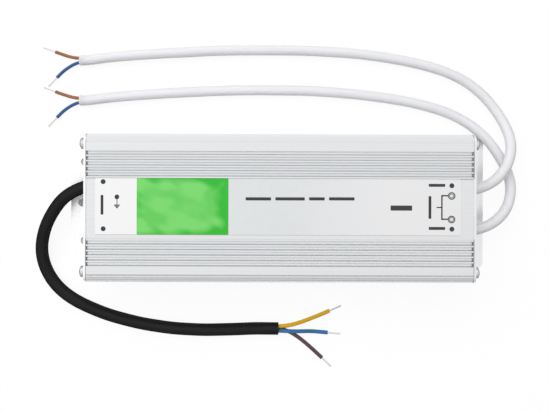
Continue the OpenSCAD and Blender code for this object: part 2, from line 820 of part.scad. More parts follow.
// Row of three moulded switches against the heat spreader on one side of the board
module switch_row(x, side) {
    for (i = [0:2])
        translate([x + (i - 0.5) * switch_spacing, side * tab_y, spreader_bottom])
            mirror([0, side > 0 ? 0 : 1, 0]) {
                translate([-switch_size.x / 2, -switch_size.y, 0])
                    cube([switch_size.x, switch_size.y, switch_height - tab_length]);
                difference() {
                    translate([-switch_size.x / 2, -tab_t, 0])
                        cube([switch_size.x, tab_t, switch_height]);
                    translate([0, cut, switch_height - tab_length / 2])
                        rotate([90, 0, 0]) cylinder(h = tab_t + 2 * cut, d = tab_hole_d);
                }
                for (pin = [-1, 0, 1])
                    translate([pin * pin_pitch, -switch_size.y / 2, (board_top - spreader_bottom) / 2])
                        cube([pin_width, pin_width * 0.75, spreader_bottom - board_top], center = true);
            }
}

module power_transistors() {
    color("dimgray") switch_row(transistor_x, -1);
}

module output_diodes() {
    color("dimgray") switch_row(diode_x, 1);
}

// Bar behind a row of switches, from the board to under the upper port
module spreader_bar(x, side, y, thickness) {
    translate([x + switch_spacing / 2 - spreader_length / 2, side > 0 ? y - thickness : -y, spreader_bottom])
        cube([spreader_length, thickness, spreader_height]);
}

module heat_spreaders() {
    color("silver") {
        spreader_bar(transistor_x, -1, spreader_outer_y, spreader_t);
        spreader_bar(diode_x, 1, spreader_outer_y, spreader_t);
    }
}

module thermal_pads() {
    color("lightpink") {
        spreader_bar(transistor_x, -1, cavity_width / 2, pad_t);
        spreader_bar(diode_x, 1, cavity_width / 2, pad_t);
    }
}

module output_choke_core() {
    color("darkolivegreen")
        ring_core(output_choke_x, 0, output_choke_d, output_choke_hole_d, output_choke_core_h);
}

module output_choke_winding() {
    color("peru") ring_winding(
        output_choke_x, 0, output_choke_d, output_choke_hole_d, output_choke_core_h, 30, 330);
}

module output_capacitors() {
    color("midnightblue") for (row = [-1, 0, 1])
        translate([output_cap_x, row * output_cap_spacing, board_top])
            cylinder(h = capacitor_h, d = output_cap_d);
}

module optocoupler() {
    color("dimgray") board_box(output_choke_x, -edge_y, optocoupler_size);
}

module controller_chip() {
    color("dimgray") board_box(bulk_cap_x, edge_y, controller_size);
}

// Leads from a cord's inner end over the board and down onto it, side by side round the cord's middle.
// The first one, at angle first, is the shortest and no other one passes under it.
module board_leads(start, count, first, diameter, end) {
    ring_r = (diameter / 2 + core_gap) / sin(180 / count);
    for (i = [0:count - 1]) {
        angle = first + i * 360 / count;
        length = lead_reach + i * lead_step;
        place = [abs(start.x), start.y + ring_r * cos(angle), start.z + ring_r * sin(angle)];
        at_end(end) translate([place.x - length, place.y, place.z]) {
            rotate([0, 90, 0]) cylinder(h = length, d = diameter);
            sphere(d = diameter);
            translate([0, 0, board_top - place.z]) cylinder(h = place.z - board_top, d = diameter);
        }
    }
}

module input_leads() {
    color("royalblue") board_leads(input_route[0], 3, 270, input_core_d, -1);
}

module output_leads() {
    color("royalblue") for (route = [output_route_1, output_route_2])
        board_leads(route[0], 2, 180, output_core_d, 1);
}

housing();
input_end_plate();
output_end_plate();
input_gasket();
output_gasket();
input_end_screws();
output_end_screws();
bonding_screws();
label_film();
green_patch();
input_grommet();
output_grommet_1();
output_grommet_2();
input_cord();
earth_core();
neutral_core();
live_core();
input_wire_ends();
output_cord_1();
output_1_brown_core();
output_1_blue_core();
output_1_wire_ends();
output_cord_2();
output_2_brown_core();
output_2_blue_core();
output_2_wire_ends();
insulating_sheet();
circuit_board();
fuse();
varistor();
filter_capacitor();
interference_capacitor();
filter_choke_core();
filter_choke_windings();
bridge_rectifier();
bulk_capacitors();
transformer_core();
transformer_bobbin();
transformer_winding();
power_transistors();
output_diodes();
heat_spreaders();
thermal_pads();
output_choke_core();
output_choke_winding();
output_capacitors();
optocoupler();
controller_chip();
input_leads();
output_leads();
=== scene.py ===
"""Waterproof power supply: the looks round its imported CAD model, laid out as a Blender add-on.

Lengths are in metres, in the frame of the CAD model: X runs along the tube with the input end at -X,
and Z = 0 is the face that it rests on. The stage and the cords are made first, then the screws, the
label and the finishes of the CAD nodes.
"""

import json
import math

import bpy
import numpy as np
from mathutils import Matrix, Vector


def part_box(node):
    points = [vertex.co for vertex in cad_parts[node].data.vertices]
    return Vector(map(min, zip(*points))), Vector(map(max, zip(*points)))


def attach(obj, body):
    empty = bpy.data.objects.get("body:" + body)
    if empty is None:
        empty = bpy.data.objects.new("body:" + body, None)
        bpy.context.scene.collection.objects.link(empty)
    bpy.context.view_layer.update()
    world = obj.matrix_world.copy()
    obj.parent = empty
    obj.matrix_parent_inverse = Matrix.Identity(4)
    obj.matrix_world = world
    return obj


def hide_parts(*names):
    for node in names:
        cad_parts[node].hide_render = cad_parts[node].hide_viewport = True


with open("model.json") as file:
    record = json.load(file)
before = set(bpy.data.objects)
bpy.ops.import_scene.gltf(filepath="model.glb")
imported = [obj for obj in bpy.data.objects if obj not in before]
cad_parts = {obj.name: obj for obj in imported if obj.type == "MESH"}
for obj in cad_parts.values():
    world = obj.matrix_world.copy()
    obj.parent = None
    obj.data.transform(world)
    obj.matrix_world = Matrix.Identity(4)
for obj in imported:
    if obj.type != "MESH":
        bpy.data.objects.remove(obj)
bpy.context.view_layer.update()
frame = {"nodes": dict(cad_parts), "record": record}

bl_info = {
    "name": "Waterproof power supply",
    "version": (1, 0, 0),
    "blender": (4, 5, 0),
    "location": "View3D > Sidebar > Power supply",
    "description": "Builds the cords, screws, label and finishes of a waterproof power supply",
    "category": "Object",
}

BODY = "root"

# Routes of the three cords, as in the CAD source: from inside the tube to the cut end of the jacket
INPUT_ROUTE = (
    (-0.093, 0.0099, 0.016), (-0.1005, 0.0099, 0.016), (-0.10889, 0.00781, 0.0157),
    (-0.11743, 0.00234, 0.0145), (-0.12315, -0.00458, 0.0127), (-0.12802, -0.01358, 0.0102),
    (-0.13079, -0.02407, 0.0076), (-0.13096, -0.02747, 0.0068), (-0.13013, -0.0343, 0.0054),
    (-0.12615, -0.04344, 0.0039), (-0.1194, -0.05099, 0.0035), (-0.10998, -0.05695, 0.0035),
    (-0.09791, -0.06218, 0.0035), (-0.08347, -0.06649, 0.0035), (-0.06703, -0.06972, 0.0035),
    (-0.04858, -0.07148, 0.0035), (-0.0301, -0.07156, 0.0035), (-0.0116, -0.0709, 0.0035),
    (0.0009, -0.0709, 0.0035),
)
OUTPUT_ROUTE_1 = (
    (0.093, 0.0079, 0.016), (0.1005, 0.0079, 0.016), (0.11013, 0.00937, 0.0159),
    (0.11841, 0.0137, 0.0153), (0.1249, 0.0211, 0.0138), (0.12831, 0.03077, 0.0113),
    (0.12846, 0.03468, 0.01), (0.12753, 0.04033, 0.008), (0.1232, 0.0501, 0.005),
    (0.1154, 0.0603, 0.0033), (0.10332, 0.0694, 0.003), (0.08617, 0.07616, 0.003),
    (0.06691, 0.08045, 0.003), (0.04785, 0.08319, 0.003), (0.0288, 0.08462, 0.003),
    (0.0098, 0.08532, 0.003), (0.001, 0.08538, 0.003), (-0.0092, 0.08533, 0.003),
    (-0.0282, 0.08519, 0.003), (-0.0472, 0.0843, 0.003), (-0.06624, 0.08331, 0.003),
    (-0.0853, 0.08196, 0.003), (-0.10128, 0.0802, 0.003), (-0.1092, 0.0793, 0.003),
    (-0.1112, 0.0793, 0.003),
)
OUTPUT_ROUTE_2 = (
    (0.093, -0.0141, 0.016), (0.1005, -0.0141, 0.016), (0.1102, -0.0128, 0.0153),
    (0.11836, -0.00951, 0.0134), (0.12606, -0.00227, 0.0105), (0.12962, 0.00784, 0.0074),
    (0.12973, 0.01004, 0.00686), (0.12955, 0.01282, 0.0062), (0.12867, 0.01684, 0.0053),
    (0.12411, 0.02643, 0.0044), (0.11674, 0.03619, 0.0043), (0.10565, 0.04539, 0.0035),
    (0.09046, 0.05227, 0.003), (0.07155, 0.05696, 0.003), (0.05294, 0.05978, 0.003),
    (0.0339, 0.06166, 0.003), (0.0149, 0.06267, 0.003), (-0.0041, 0.06288, 0.003),
    (-0.0231, 0.06275, 0.003), (-0.0421, 0.06205, 0.003), (-0.06113, 0.06105, 0.003),
    (-0.08217, 0.05958, 0.003), (-0.10117, 0.0576, 0.003), (-0.1091, 0.0568, 0.003),
    (-0.1111, 0.0568, 0.003),
)
# Routes of the input cores, from the jacket's cut end
EARTH_ROUTE = (
    (0.0009, -0.06955, 0.0039), (0.0094, -0.0686, 0.003), (0.0194, -0.0657, 0.0012),
    (0.0299, -0.0613, 0.0012),
)
NEUTRAL_ROUTE = (
    (0.0009, -0.0719, 0.0045), (0.0104, -0.0723, 0.0041), (0.0204, -0.073, 0.0012),
    (0.0289, -0.0737, 0.0012),
)
LIVE_ROUTE = (
    (0.0009, -0.07125, 0.00215), (0.0064, -0.0729, 0.0014), (0.0154, -0.0788, 0.0012),
    (0.0256, -0.0879, 0.0012),
)
# Steps of the output cores from the middle of their jacket's cut end
BROWN_STEPS = ((0.0, 0.00125, 0.0), (-0.007, 0.0025, -0.0019), (-0.0144, 0.005, -0.0019))
BLUE_STEPS = (
    (0.0, -0.00125, 0.0), (-0.0045, -0.0026, -0.0013), (-0.0095, -0.0058, -0.0019),
    (-0.0134, -0.0096, -0.0019),
)

# Places of the end screws across the tube and up it, and the planes that the heads seat on
PORT_PLACES = ((-0.0331, 0.0066), (-0.0331, 0.035), (0.0331, 0.0066), (0.0331, 0.035))
PLATE_OUTER = 0.1003
BOND_SCREW_X = 0.1093
EAR_TOP = 0.001
# Middle of one mounting hole, whose mirror images are the other three, and its radius
HOLE_PLACE = (0.1086, 0.02225, 0.0)
HOLE_RADIUS = 0.0023
# Half the tube's width, and where each painted shade of the gaskets starts across it
HALF_WIDTH = 0.0381
SEAL_SHADES = ((-HALF_WIDTH, 0.6), (-0.0295, 0.4), (-0.0157, 1.0), (0.0157, 0.4), (0.0295, 0.85))

# Gap between the ground and the lowest side of a cord or core
LIFT = 0.00003
# Radius of a jacket's bore as a share of its diameter, and an insulation's bore as a share of its bundle
JACKET_BORE = 0.39
CORE_BORE = 1.12
# Radius of the round edge of a cut end, as a share of its wall
CUT_EDGE = 0.25
# How far the cut insulation shows as hollow, and how far inside it the bare strands start
CORE_MOUTH = 0.0012
STRANDS_START = 0.0011
# How far inside a jacket's mouth the cores start, as a share of its depth
CORE_START = 0.8
# Length in which the bare strands, and the cores inside a jacket, twist once round
STRAND_TWIST = 0.0105
CORE_TWIST = 0.055
# Angle between faces past which an edge stays sharp
CREASE = math.radians(40)
# Openness of a corner at which the painted corner shade is full and at which it ends, and how fast its lean
# falls off a slope
CORNER_SHADE_RANGE = (0.25, 0.8)
LEAN_POWER = 30.0
# How deep light spreads under a soft skin, and how soon a surface counts as seen at a slant
SKIN_DEPTH = 0.002
SLANT_BLEND = 0.4

# Middles of the label's corner dots, and middle and radius of the dot of the mark near the input
DOTS = ((-0.09028, 0.01361), (-0.09016, -0.01043), (0.08775, 0.01216), (0.08784, -0.01004))
MARK_DOT = ((-0.08322, 0.00586), 0.0012)
# Middles of the two double rings near the outputs, and the outer and inner radius of each ring
RING_PLACES = ((0.08765, 0.00693), (0.08765, -0.00507))
RING_RADII = ((0.00193, 0.0014), (0.00118, 0.00082))
# Middle and size of each plain bar of the label
BARS = (
    ((-0.09081, 0.0018), (0.0014, 0.0100)), ((0.0766, 0.00102), (0.0014, 0.0116)),
    ((-0.01102, 0.0051), (0.0130, 0.0016)), ((0.00518, 0.00515), (0.0150, 0.0016)),
    ((0.01888, 0.00521), (0.0080, 0.0016)), ((0.03158, 0.00525), (0.0130, 0.0016)),
    ((0.08015, 0.01233), (0.0084, 0.0015)), ((0.08023, -0.00967), (0.0084, 0.0015)),
    ((0.062, 0.00066), (0.0110, 0.0026)),
)

# Finishes of the CAD nodes by their slot in the record: colour, pattern and what differs from a plain finish
NODE_FINISHES = {
    "gasket_rubber": ((0.93, 0.93, 0.94), "grain", dict(roughness=0.7, relief=0.00003, Size=0.0008)),
    "black_rubber": ((0.02, 0.02, 0.022), "grain", dict(roughness=0.6, relief=0.00003, Size=0.0007)),
    "white_rubber": ((0.82, 0.82, 0.83), "grain", dict(roughness=0.5, relief=0.00002, Size=0.0008)),
    "insulating_film": ((0.8, 0.78, 0.7), "grain", dict(roughness=0.35, Size=0.004)),
    "board_laminate": ((0.03, 0.2, 0.07), "tracks", dict(dark=0.6, roughness=0.35, relief=0.00004, coat=0.3)),
    "brown_moulding": ((0.2, 0.09, 0.05), "grain", dict(roughness=0.5, relief=0.00003, Size=0.001)),
    "blue_epoxy": ((0.04, 0.13, 0.42), "grain", dict(roughness=0.25, coat=0.4, relief=0.00006, Size=0.003)),
    "yellow_film": ((0.78, 0.62, 0.1), "grain", dict(roughness=0.35, relief=0.00003, Size=0.002)),
    "ferrite": ((0.035, 0.035, 0.04), "grain", dict(dark=0.6, roughness=0.6, relief=0.00004, Size=0.0006)),
    "black_epoxy": ((0.02, 0.02, 0.02), "grain", dict(roughness=0.55, relief=0.00003, Size=0.0007)),
    "capacitor_sleeve": ((0.02, 0.03, 0.09), "layers", dict(roughness=0.3, coat=0.3, Pitch=0.012)),
    "bobbin_moulding": ((0.7, 0.66, 0.5), "grain", dict(roughness=0.45, relief=0.00002, Size=0.001)),
    "winding_tape": (
        (0.76, 0.52, 0.06), "layers", dict(dark=0.75, roughness=0.25, relief=0.00005, Pitch=0.0045)),
    "thermal_pad": ((0.55, 0.35, 0.33), "grain", dict(roughness=0.8, relief=0.00004, Size=0.0012)),
    "powder_core": ((0.1, 0.16, 0.05), "grain", dict(roughness=0.45, relief=0.00004, Size=0.0015)),
}


def number(name, description, default, **options):
    """Property that holds one number."""
    return bpy.props.FloatProperty(name=name, description=description, default=default, **options)


def length(name, description, default):
    """Property that holds one length."""
    return number(name, description, default, unit="LENGTH")


def vector(name, description, default, **options):
    """Property that holds two or three numbers."""
    return bpy.props.FloatVectorProperty(
        name=name, description=description, default=default, size=len(default), **options)


def tint(name, description, default):
    """Property that holds a colour."""
    return vector(name, description, default, subtype="COLOR")


class CordSettings(bpy.types.PropertyGroup):
    """Sizes of the cords and of what comes out of their cut ends."""

    input_diameter: length("Input cord", "Diameter of the black cord", 0.0069)
    output_diameter: length("Output cords", "Diameter of the white cords", 0.0057)
    input_core: length("Input cores", "Diameter of the three cores", 0.0022)
    output_core: length("Output cores", "Diameter of the brown and blue cores", 0.00185)
    input_bundle: length("Input strands", "Diameter of an input core's bare bundle", 0.001)
    output_bundle: length("Output strands", "Diameter of an output core's bare bundle", 0.0009)
    bare_length: length("Bare length", "Length of the stripped ends", 0.0072)
    strand_count: bpy.props.IntProperty(
        name="Outer strands", description="Strands round the middle one of a bundle", default=8, min=5,
        max=14)
    mouth_depth: length("Mouth depth", "How far the cut jackets show as hollow", 0.0032)
    ripple: number("Ripple", "Share of the radius by which the twisted cores lift the jacket", 0.008)


class ScrewSettings(bpy.types.PropertyGroup):
    """Sizes of the pan head screws."""

    head_diameter: length("Head", "Diameter of the heads", 0.0058)
    head_height: length("Head height", "Height of the heads", 0.0031)
    shank_diameter: length("Shank", "Diameter of the end screws' threads", 0.0028)
    bond_diameter: length("Bonding shank", "Diameter of the bonding screws' threads", 0.003)
    length: length("Length", "Length of the end screws under the head", 0.012)
    pitch: length("Pitch", "Distance from one thread to the next", 0.0006)


class LabelSettings(bpy.types.PropertyGroup):
    """Sizes of the label film, its patch and its plain marks."""

    centre: vector("Centre", "Middle of the film along and across the tube", (-0.001, 0.0011), unit="LENGTH")
    size: vector("Size", "Length and width of the film", (0.187, 0.0288), unit="LENGTH")
    base: length("Base", "Height of the band that the film lies on", 0.0395)
    thickness: length("Thickness", "Thickness of the film", 0.0002)
    patch_centre: vector("Patch centre", "Middle of the green patch", (-0.0497, 0.0011), unit="LENGTH")
    patch_size: vector("Patch size", "Length and width of the green patch", (0.0468, 0.0288), unit="LENGTH")
    patch_thickness: length("Patch thickness", "Thickness of the patch", 0.00012)
    ink: length("Ink", "Thickness of the printed marks", 0.00002)
    dot_radius: length("Dots", "Radius of the four corner dots", 0.00126)
    line_width: length("Lines", "Width of the lines of the mark near the input", 0.00042)
    bracket_width: length("Bracket lines", "Width of the lines of the mark near the outputs", 0.00072)


class FinishSettings(bpy.types.PropertyGroup):
    """Colours of the finishes that show from outside."""

    aluminium: tint("Aluminium", "Anodised tube", (0.787, 0.80, 0.81))
    # The two plates have one brushed finish: the input plate's whiter colour is painted light, and the output
    # plate's duller colour painted shade.
    input_plate: tint("Input plate", "Bright brushed end plate", (1.0, 1.0, 1.0))
    output_plate: tint("Output plate", "Duller brushed end plate", (0.87, 0.875, 0.885))
    film: tint("Label film", "Silver white film", (0.795, 0.815, 0.83))
    film_far: tint("Far film", "Film towards the output end", (0.87, 0.87, 0.88))
    film_white: tint("White film", "Film between the input end and the patch", (0.955, 0.955, 0.965))
    green: tint("Green", "Plain patch", (0.20, 0.71, 0.155))
    green_deep: tint("Deep green", "Deeper clouds of the patch", (0.012, 0.47, 0.02))
    black_jacket: tint("Black jacket", "Input cord", (0.0055, 0.0055, 0.006))
    white_jacket: tint("White jacket", "Output cords", (0.86, 0.86, 0.885))
    ink: tint("Ink", "Printed marks", (0.036, 0.036, 0.04))
    earth: tint("Earth core", "Ochre insulation", (0.87, 0.48, 0.002))
    neutral: tint("Neutral core", "Blue insulation", (0.035, 0.19, 0.44))
    live: tint("Live core", "Dark brown insulation", (0.12, 0.065, 0.075))
    brown: tint("Brown cores", "Output insulation", (0.40, 0.145, 0.062))
    navy: tint("Blue cores", "Output insulation", (0.035, 0.11, 0.33))


class StageSettings(bpy.types.PropertyGroup):
    """Camera, floor and light."""

    camera: vector("Camera", "Place of the camera, which looks straight down", (-0.01525, 0.0373, 0.4),
                   subtype="TRANSLATION")
    lens: number("Lens", "Focal length", 46.2)
    roll: number("Roll", "Turn of the camera about its line of sight", math.radians(0.21), subtype="ANGLE")
    shift: vector("Shift", "Framing of the picture", (0.04496, -0.12773))
    floor_size: length("Floor", "Side of the floor", 6.0)
    floor_level: length("Floor level", "Height of the floor, just under the object", -0.0001)
    key_power: number("Key light", "Power of the soft light", 18.0)
    light_from: vector("Light from", "Direction that the even light is strongest from", (-0.35, 0.55, 0.76),
                       subtype="DIRECTION")
    world_low: number("World low", "Even light from the side away from the strongest", 0.1)
    world_high: number("World high", "Even light from where it is strongest", 0.57)
    mirrored_low: number("Mirrored low", "What shiny pieces reflect from the horizon", 0.4)
    mirrored_high: number("Mirrored high", "What shiny pieces reflect from above", 1.07)
    mirrored_tilt: vector("Mirrored tilt", "Share by which the reflections grow along each axis",
                          (-0.14, 0.29, 0.0), subtype="XYZ")


def spline_bends(points, spans):
    """Second derivatives of the natural cubic spline through points that lie spans apart.

    At each inner point the slopes on both sides agree, which gives one row of a tridiagonal system:
    spans before and after weigh the neighbours, twice their sum the point itself.
    """
    inner = len(points) - 2
    system = np.diag(2 * (spans[:-1] + spans[1:])) + np.diag(spans[1:-1], 1) + np.diag(spans[1:-1], -1)
    slopes = np.diff(points, axis=0) / spans[:, None]
    bends = np.zeros_like(points)
    bends[1:inner + 1] = np.linalg.solve(system, 6 * np.diff(slopes, axis=0))
    return bends


def unit(vectors):
    """Vectors of length one along the given ones."""
    return vectors / np.linalg.norm(vectors, axis=-1, keepdims=True)


class Line:
    """Smooth line through a route, measured by the distance along it, with a level side direction.

    The line is the cubic spline through the points, and nothing of it is lower than lowest.

    Side is ahead x Z and up is side x ahead, so that the pair never twists round the line.
    """

    def __init__(self, route, lowest=0.0, step=0.00025):
        points = np.array(route, float)
        spans = np.linalg.norm(np.diff(points, axis=0), axis=1)
        knots = np.concatenate([[0.0], np.cumsum(spans)])
        bends = spline_bends(points, spans)
        t = np.linspace(0.0, knots[-1], int(knots[-1] / step) + 2)
        k = np.clip(np.searchsorted(knots, t, side="right") - 1, 0, len(spans) - 1)
        h = spans[k][:, None]
        after = (t - knots[k])[:, None]
        before = h - after
        line = (bends[k] * before**3 + bends[k + 1] * after**3) / (6 * h)
        line += (points[k] / h - bends[k] * h / 6) * before
        line += (points[k + 1] / h - bends[k + 1] * h / 6) * after
        line[:, 2] = np.maximum(line[:, 2], lowest)
        self.points = line
        self.distance = np.concatenate([[0.0], np.cumsum(np.linalg.norm(np.diff(line, axis=0), axis=1))])
        self.length = self.distance[-1]
        self.ahead = unit(np.gradient(line, self.distance, axis=0))

    def at(self, distance):
        """Centre, side, up and ahead at each distance, held at the ends past them."""
        centre, ahead = (
            np.stack([np.interp(distance, self.distance, values[:, k]) for k in range(3)], axis=1)
            for values in (self.points, self.ahead))
        ahead = unit(ahead)
        side = unit(np.cross(ahead, (0.0, 0.0, 1.0)))
        return centre, side, np.cross(side, ahead), ahead


def turns(count):
    """Angles of count columns round a full turn."""
    return np.arange(count) * (2 * math.pi / count)


def smooth_step(value, low, high):
    """0 below low, 1 above high, and the cubic 3t2 - 2t3 in between."""
    t = np.clip((value - low) / (high - low), 0.0, 1.0)
    return t * t * (3 - 2 * t)


def shell(points, start=None, end=None, closed=False):
    """Faces of a grid of points (rows, columns, 3) whose columns run round and close on themselves.

    A face joins (i, j), (i, j+1), (i+1, j+1), (i+1, j), and looks outwards where the columns turn
    anticlockwise about the direction of the rows. A start or end point closes that row with a fan, and
    closed joins the last row to the first. UV: share of the turn, and distance along the rows in metres.
    """
    rows, columns = points.shape[:2]
    row, column = np.meshgrid(np.arange(rows if closed else rows - 1), np.arange(columns), indexing="ij")
    below, beside = (row + 1) % rows, (column + 1) % columns
    faces = [np.stack([row * columns + column, row * columns + beside,
                       below * columns + beside, below * columns + column], axis=-1).reshape(-1, 4)]
    stepped = np.linalg.norm(np.diff(points, axis=0, append=points[:1]), axis=2).mean(axis=1)
    along = np.concatenate([[0.0], np.cumsum(stepped)])
    u, v = column / columns, along[row]
    u_beside, v_below = u + 1 / columns, along[row + 1]
    uvs = [np.stack([u, v, u_beside, v, u_beside, v_below, u, v_below], axis=-1).reshape(-1, 2)]
    vertices = [points.reshape(-1, 3)]
    ring = np.arange(columns)
    share = ring / columns
    poles = ((start, 0, False, 0.0), (end, (rows - 1) * columns, True, along[rows - 1]))
    for pole, first, outwards, v in poles:
        if pole is None:
            continue
        index = sum(len(part) for part in vertices)
        vertices.append(np.array(pole, float).reshape(1, 3))
        here, after = first + ring, first + (ring + 1) % columns
        corners = (here, after) if outwards else (after, here)
        faces.append(np.stack([np.full(columns, index), *corners], axis=-1))
        level = np.full(columns, v)
        sides = (share, share + 1 / columns) if outwards else (share + 1 / columns, share)
        uvs.append(np.stack([share, level, sides[0], level, sides[1], level], axis=-1).reshape(-1, 2))
    return np.concatenate(vertices), faces, np.concatenate(uvs)


def new_object(name, data):
    """Object in the scene's own collection."""
    made = bpy.data.objects.new(name, data)
    bpy.context.scene.collection.objects.link(made)
    return made


def piece(name, shells, material, slot, replaced=()):
    """One object of the given shells, with its UV map, its creases and its place on the body."""
    vertices, faces, uvs, offset = [], [], [], 0
    for part_vertices, part_faces, part_uvs in shells:
        vertices.append(part_vertices)
        for group in part_faces:
            faces.extend((group + offset).tolist())
        uvs.append(part_uvs)
        offset += len(part_vertices)
    mesh = bpy.data.meshes.new(name)
    mesh.from_pydata(np.concatenate(vertices).tolist(), [], faces)
    layer = mesh.uv_layers.new(name="UVMap")
    layer.data.foreach_set("uv", np.concatenate(uvs).astype(np.float32).ravel())
    mesh.polygons.foreach_set("use_smooth", np.ones(len(faces), bool))
    mesh.set_sharp_from_angle(angle=CREASE)
    mesh.materials.append(material)
    mesh.update()
    made = new_object(name, mesh)
    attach(made, BODY)
    if replaced:
        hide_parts(*replaced)
    return made


def circled(side, up, angle):
    """Directions cos a up + sin a side, which turn anticlockwise about ahead."""
    return np.cos(angle) * up + np.sin(angle) * side


def sheath(line, outer, bore, mouth, columns, step, ripple=0.0, lobes=3):
    """Jacket or insulation along a line, closed where it starts and cut open where it ends.

    Its rows are circles centre + radius (cos a up + sin a side), for pairs of distance and radius: along
    the wall at the outer radius, round the cut edge by a quarter circle, across the end to the bore and
    back down the bore to its blind bottom. The cores twisted inside leave the wall lower by
    radius x ripple x (1 - sin(lobes (angle - distance / twist))).
    """
    edge = (outer - bore) * CUT_EDGE
    wall = np.linspace(0.0, line.length - edge, int(line.length / step) + 2)
    quarter = np.linspace(0.0, math.pi / 2, 5)[1:]
    last = line.length
    down = np.linspace(last - edge * 0.5, last - mouth, 4)
    distance = np.concatenate([wall, last - edge + edge * np.sin(quarter), [last], down])
    radius = np.concatenate([
        np.full(len(wall), outer), outer - edge + edge * np.cos(quarter), [bore + edge * 0.5],
        np.full(len(down), bore)])
    centre, side, up, _ = line.at(distance)
    angle = turns(columns)[None, :]
    wave = np.sin(lobes * (angle - 2 * math.pi * distance[:, None] / CORE_TWIST))
    swell = 1.0 + ripple * (wave - 1.0) * (np.arange(len(distance)) < len(wall))[:, None]
    wall_points = centre[:, None] + (radius[:, None] * swell)[..., None] * circled(
        side[:, None], up[:, None], angle[..., None])
    return shell(wall_points, start=centre[0], end=centre[-1])


def bundle(tip_line, bare_length, radius, count, seed):
    """Twisted bare strands that carry on level from the end of a core.

    Strand k follows a helix: start + ahead s + r(s) (cos a up + sin a side), a = 2 pi (k / count +
    s / twist), whose radius opens a little towards the tip, and one strand runs up the middle.
    """
    chance = np.random.default_rng(seed)
    strand, shorter, opening, wobble = radius * 0.33, 0.10, (0.10, 0.25), 0.12
    rows, columns, flare, tip_share, point_share = 26, 7, 6, 0.72, 0.2
    ahead = unit(tip_line.at([tip_line.length])[3][0] * (1.0, 1.0, 0.0))
    side = np.cross(ahead, (0.0, 0.0, 1.0))
    up = np.cross(side, ahead)
    origin = tip_line.points[-1] - ahead * STRANDS_START
    share = np.linspace(0.0, 1.0, rows)
    parts = []
    for k in range(count + 1):
        reach = STRANDS_START + bare_length * (1.0 - shorter * chance.random() * (k > 0))
        s = share * reach
        opened = 1.0 + (opening[0] + opening[1] * chance.random()) * share**flare
        away = (radius - strand) * (k < count) * opened
        around = 2 * math.pi * (k / count + s / STRAND_TWIST) + wobble * chance.standard_normal()
        centre = origin + ahead * s[:, None] + away[:, None] * circled(side, up, around[:, None])
        tube = centre[:, None] + strand * circled(side, up, turns(columns)[None, :, None])
        tube[-1] = centre[-1] + (tube[-1] - centre[-1]) * tip_share
        parts.append(shell(tube, start=centre[0], end=centre[-1] + ahead * strand * point_share))
    return parts


def pan_head(radius, shank, pitch, head_radius, head_height, turn):
    """Pan head screw along +Z with its seat at z = 0, as one surface turned about Z.

    From the tip up: a thread of radius root + rise tri(z / pitch - angle / 2 pi), the head's flat seat
    and low side, and a dome z = top - R + sqrt(R2 - r2). A cross recess lowers the dome where the
    distance from either arm's middle line is under half its width, which grows from its bottom up.
    """
    columns, rows_per_turn, dome_rings, middle = 64, 5, 22, 0.00012
    rise, tip, taper, narrower, tip_share = 0.000198, 0.0004, 0.0012, 0.0002, 0.55
    chamfer, low_side, bevel, dome_share = 0.0001, 0.00012, (0.00008, 0.00025), 1.6
    depth, shallower, arm_share, half_width, blend = 0.0011, 0.35, 0.6, (0.0003, 0.00052), 0.0002
    angle = turns(columns)[None, :] + turn
    z = np.linspace(-shank + tip, -chamfer, max(4, int(shank / pitch * rows_per_turn)))[:, None]
    phase = (z / pitch - (angle - turn) / (2 * math.pi)) % 1.0
    fade = smooth_step(z, -shank, -shank + taper)
    thread = radius - rise * (1 - np.abs(2 * phase - 1)) - narrower * (1 - fade)
    thread_z = np.broadcast_to(z, thread.shape)
    dome = head_radius * dome_share
    r = np.concatenate([[head_radius - chamfer, head_radius, head_radius, head_radius - bevel[0]],
                        np.linspace(head_radius - bevel[1], middle, dome_rings)])[:, None]
    r = np.broadcast_to(r, (len(r), columns))
    x, y = r * np.cos(angle - turn), r * np.sin(angle - turn)
    top = head_height - dome + np.sqrt(dome**2 - r**2)
    across = np.minimum(np.abs(x), np.abs(y))
    reach = head_radius * arm_share
    cut = (1 - smooth_step(across, *half_width)) * (1 - smooth_step(r, reach - blend, reach + blend))
    top = top - cut * depth * (1 - shallower * r / reach)
    top[0], top[1] = 0.0, low_side
    top[2] = head_height - dome + math.sqrt(dome**2 - head_radius**2) - low_side
    radii = np.concatenate([np.full((1, columns), radius * tip_share), thread, r])
    heights = np.concatenate([np.full((1, columns), -shank), thread_z, top])
    angles = np.broadcast_to(angle, radii.shape)
    points = np.stack([radii * np.cos(angles), radii * np.sin(angles), heights], axis=-1)
    return points, (0.0, 0.0, -shank), (0.0, 0.0, float(top[-1].mean()))


def placed(screw, seat, axes):
    """Shell of a screw whose seat is at the given point. Axes are what its X, Y and Z run along."""
    points, start, end = (np.asarray(part) @ np.array(axes, float) + np.array(seat) for part in screw)
    return shell(points, start=start, end=end)


def slab(outline, base, height, edge=0.0):
    """Flat plate over a closed outline (columns, 2): up its wall and over both faces to the middle."""
    middle = outline.mean(axis=0)
    inner = middle + (outline - middle) * (1 - edge / np.abs(outline - middle).max())
    levels = ((outline, base), (outline, base + height - min(edge, height / 2)), (inner, base + height))
    rows = np.stack([np.column_stack([line, np.full(len(line), z)]) for line, z in levels])
    return shell(rows, start=(*middle, base), end=(*middle, base + height))


def rounded(centre, size, corner, per_corner=8):
    """Outline of a rectangle with round corners, anticlockwise: four quarter circles joined by its sides."""
    half = np.array(size) / 2 - corner
    quarter = np.linspace(0.0, math.pi / 2, per_corner)
    parts = []
    for k, sign in enumerate(((1, 1), (-1, 1), (-1, -1), (1, -1))):
        angle = quarter + k * math.pi / 2
        parts.append(half * sign + corner * np.column_stack([np.cos(angle), np.sin(angle)]))
    return np.concatenate(parts) + np.array(centre)


def disc(centre, radius, columns=36):
    """Outline of a circle."""
    angle = turns(columns)
    return np.array(centre) + radius * np.column_stack([np.cos(angle), np.sin(angle)])


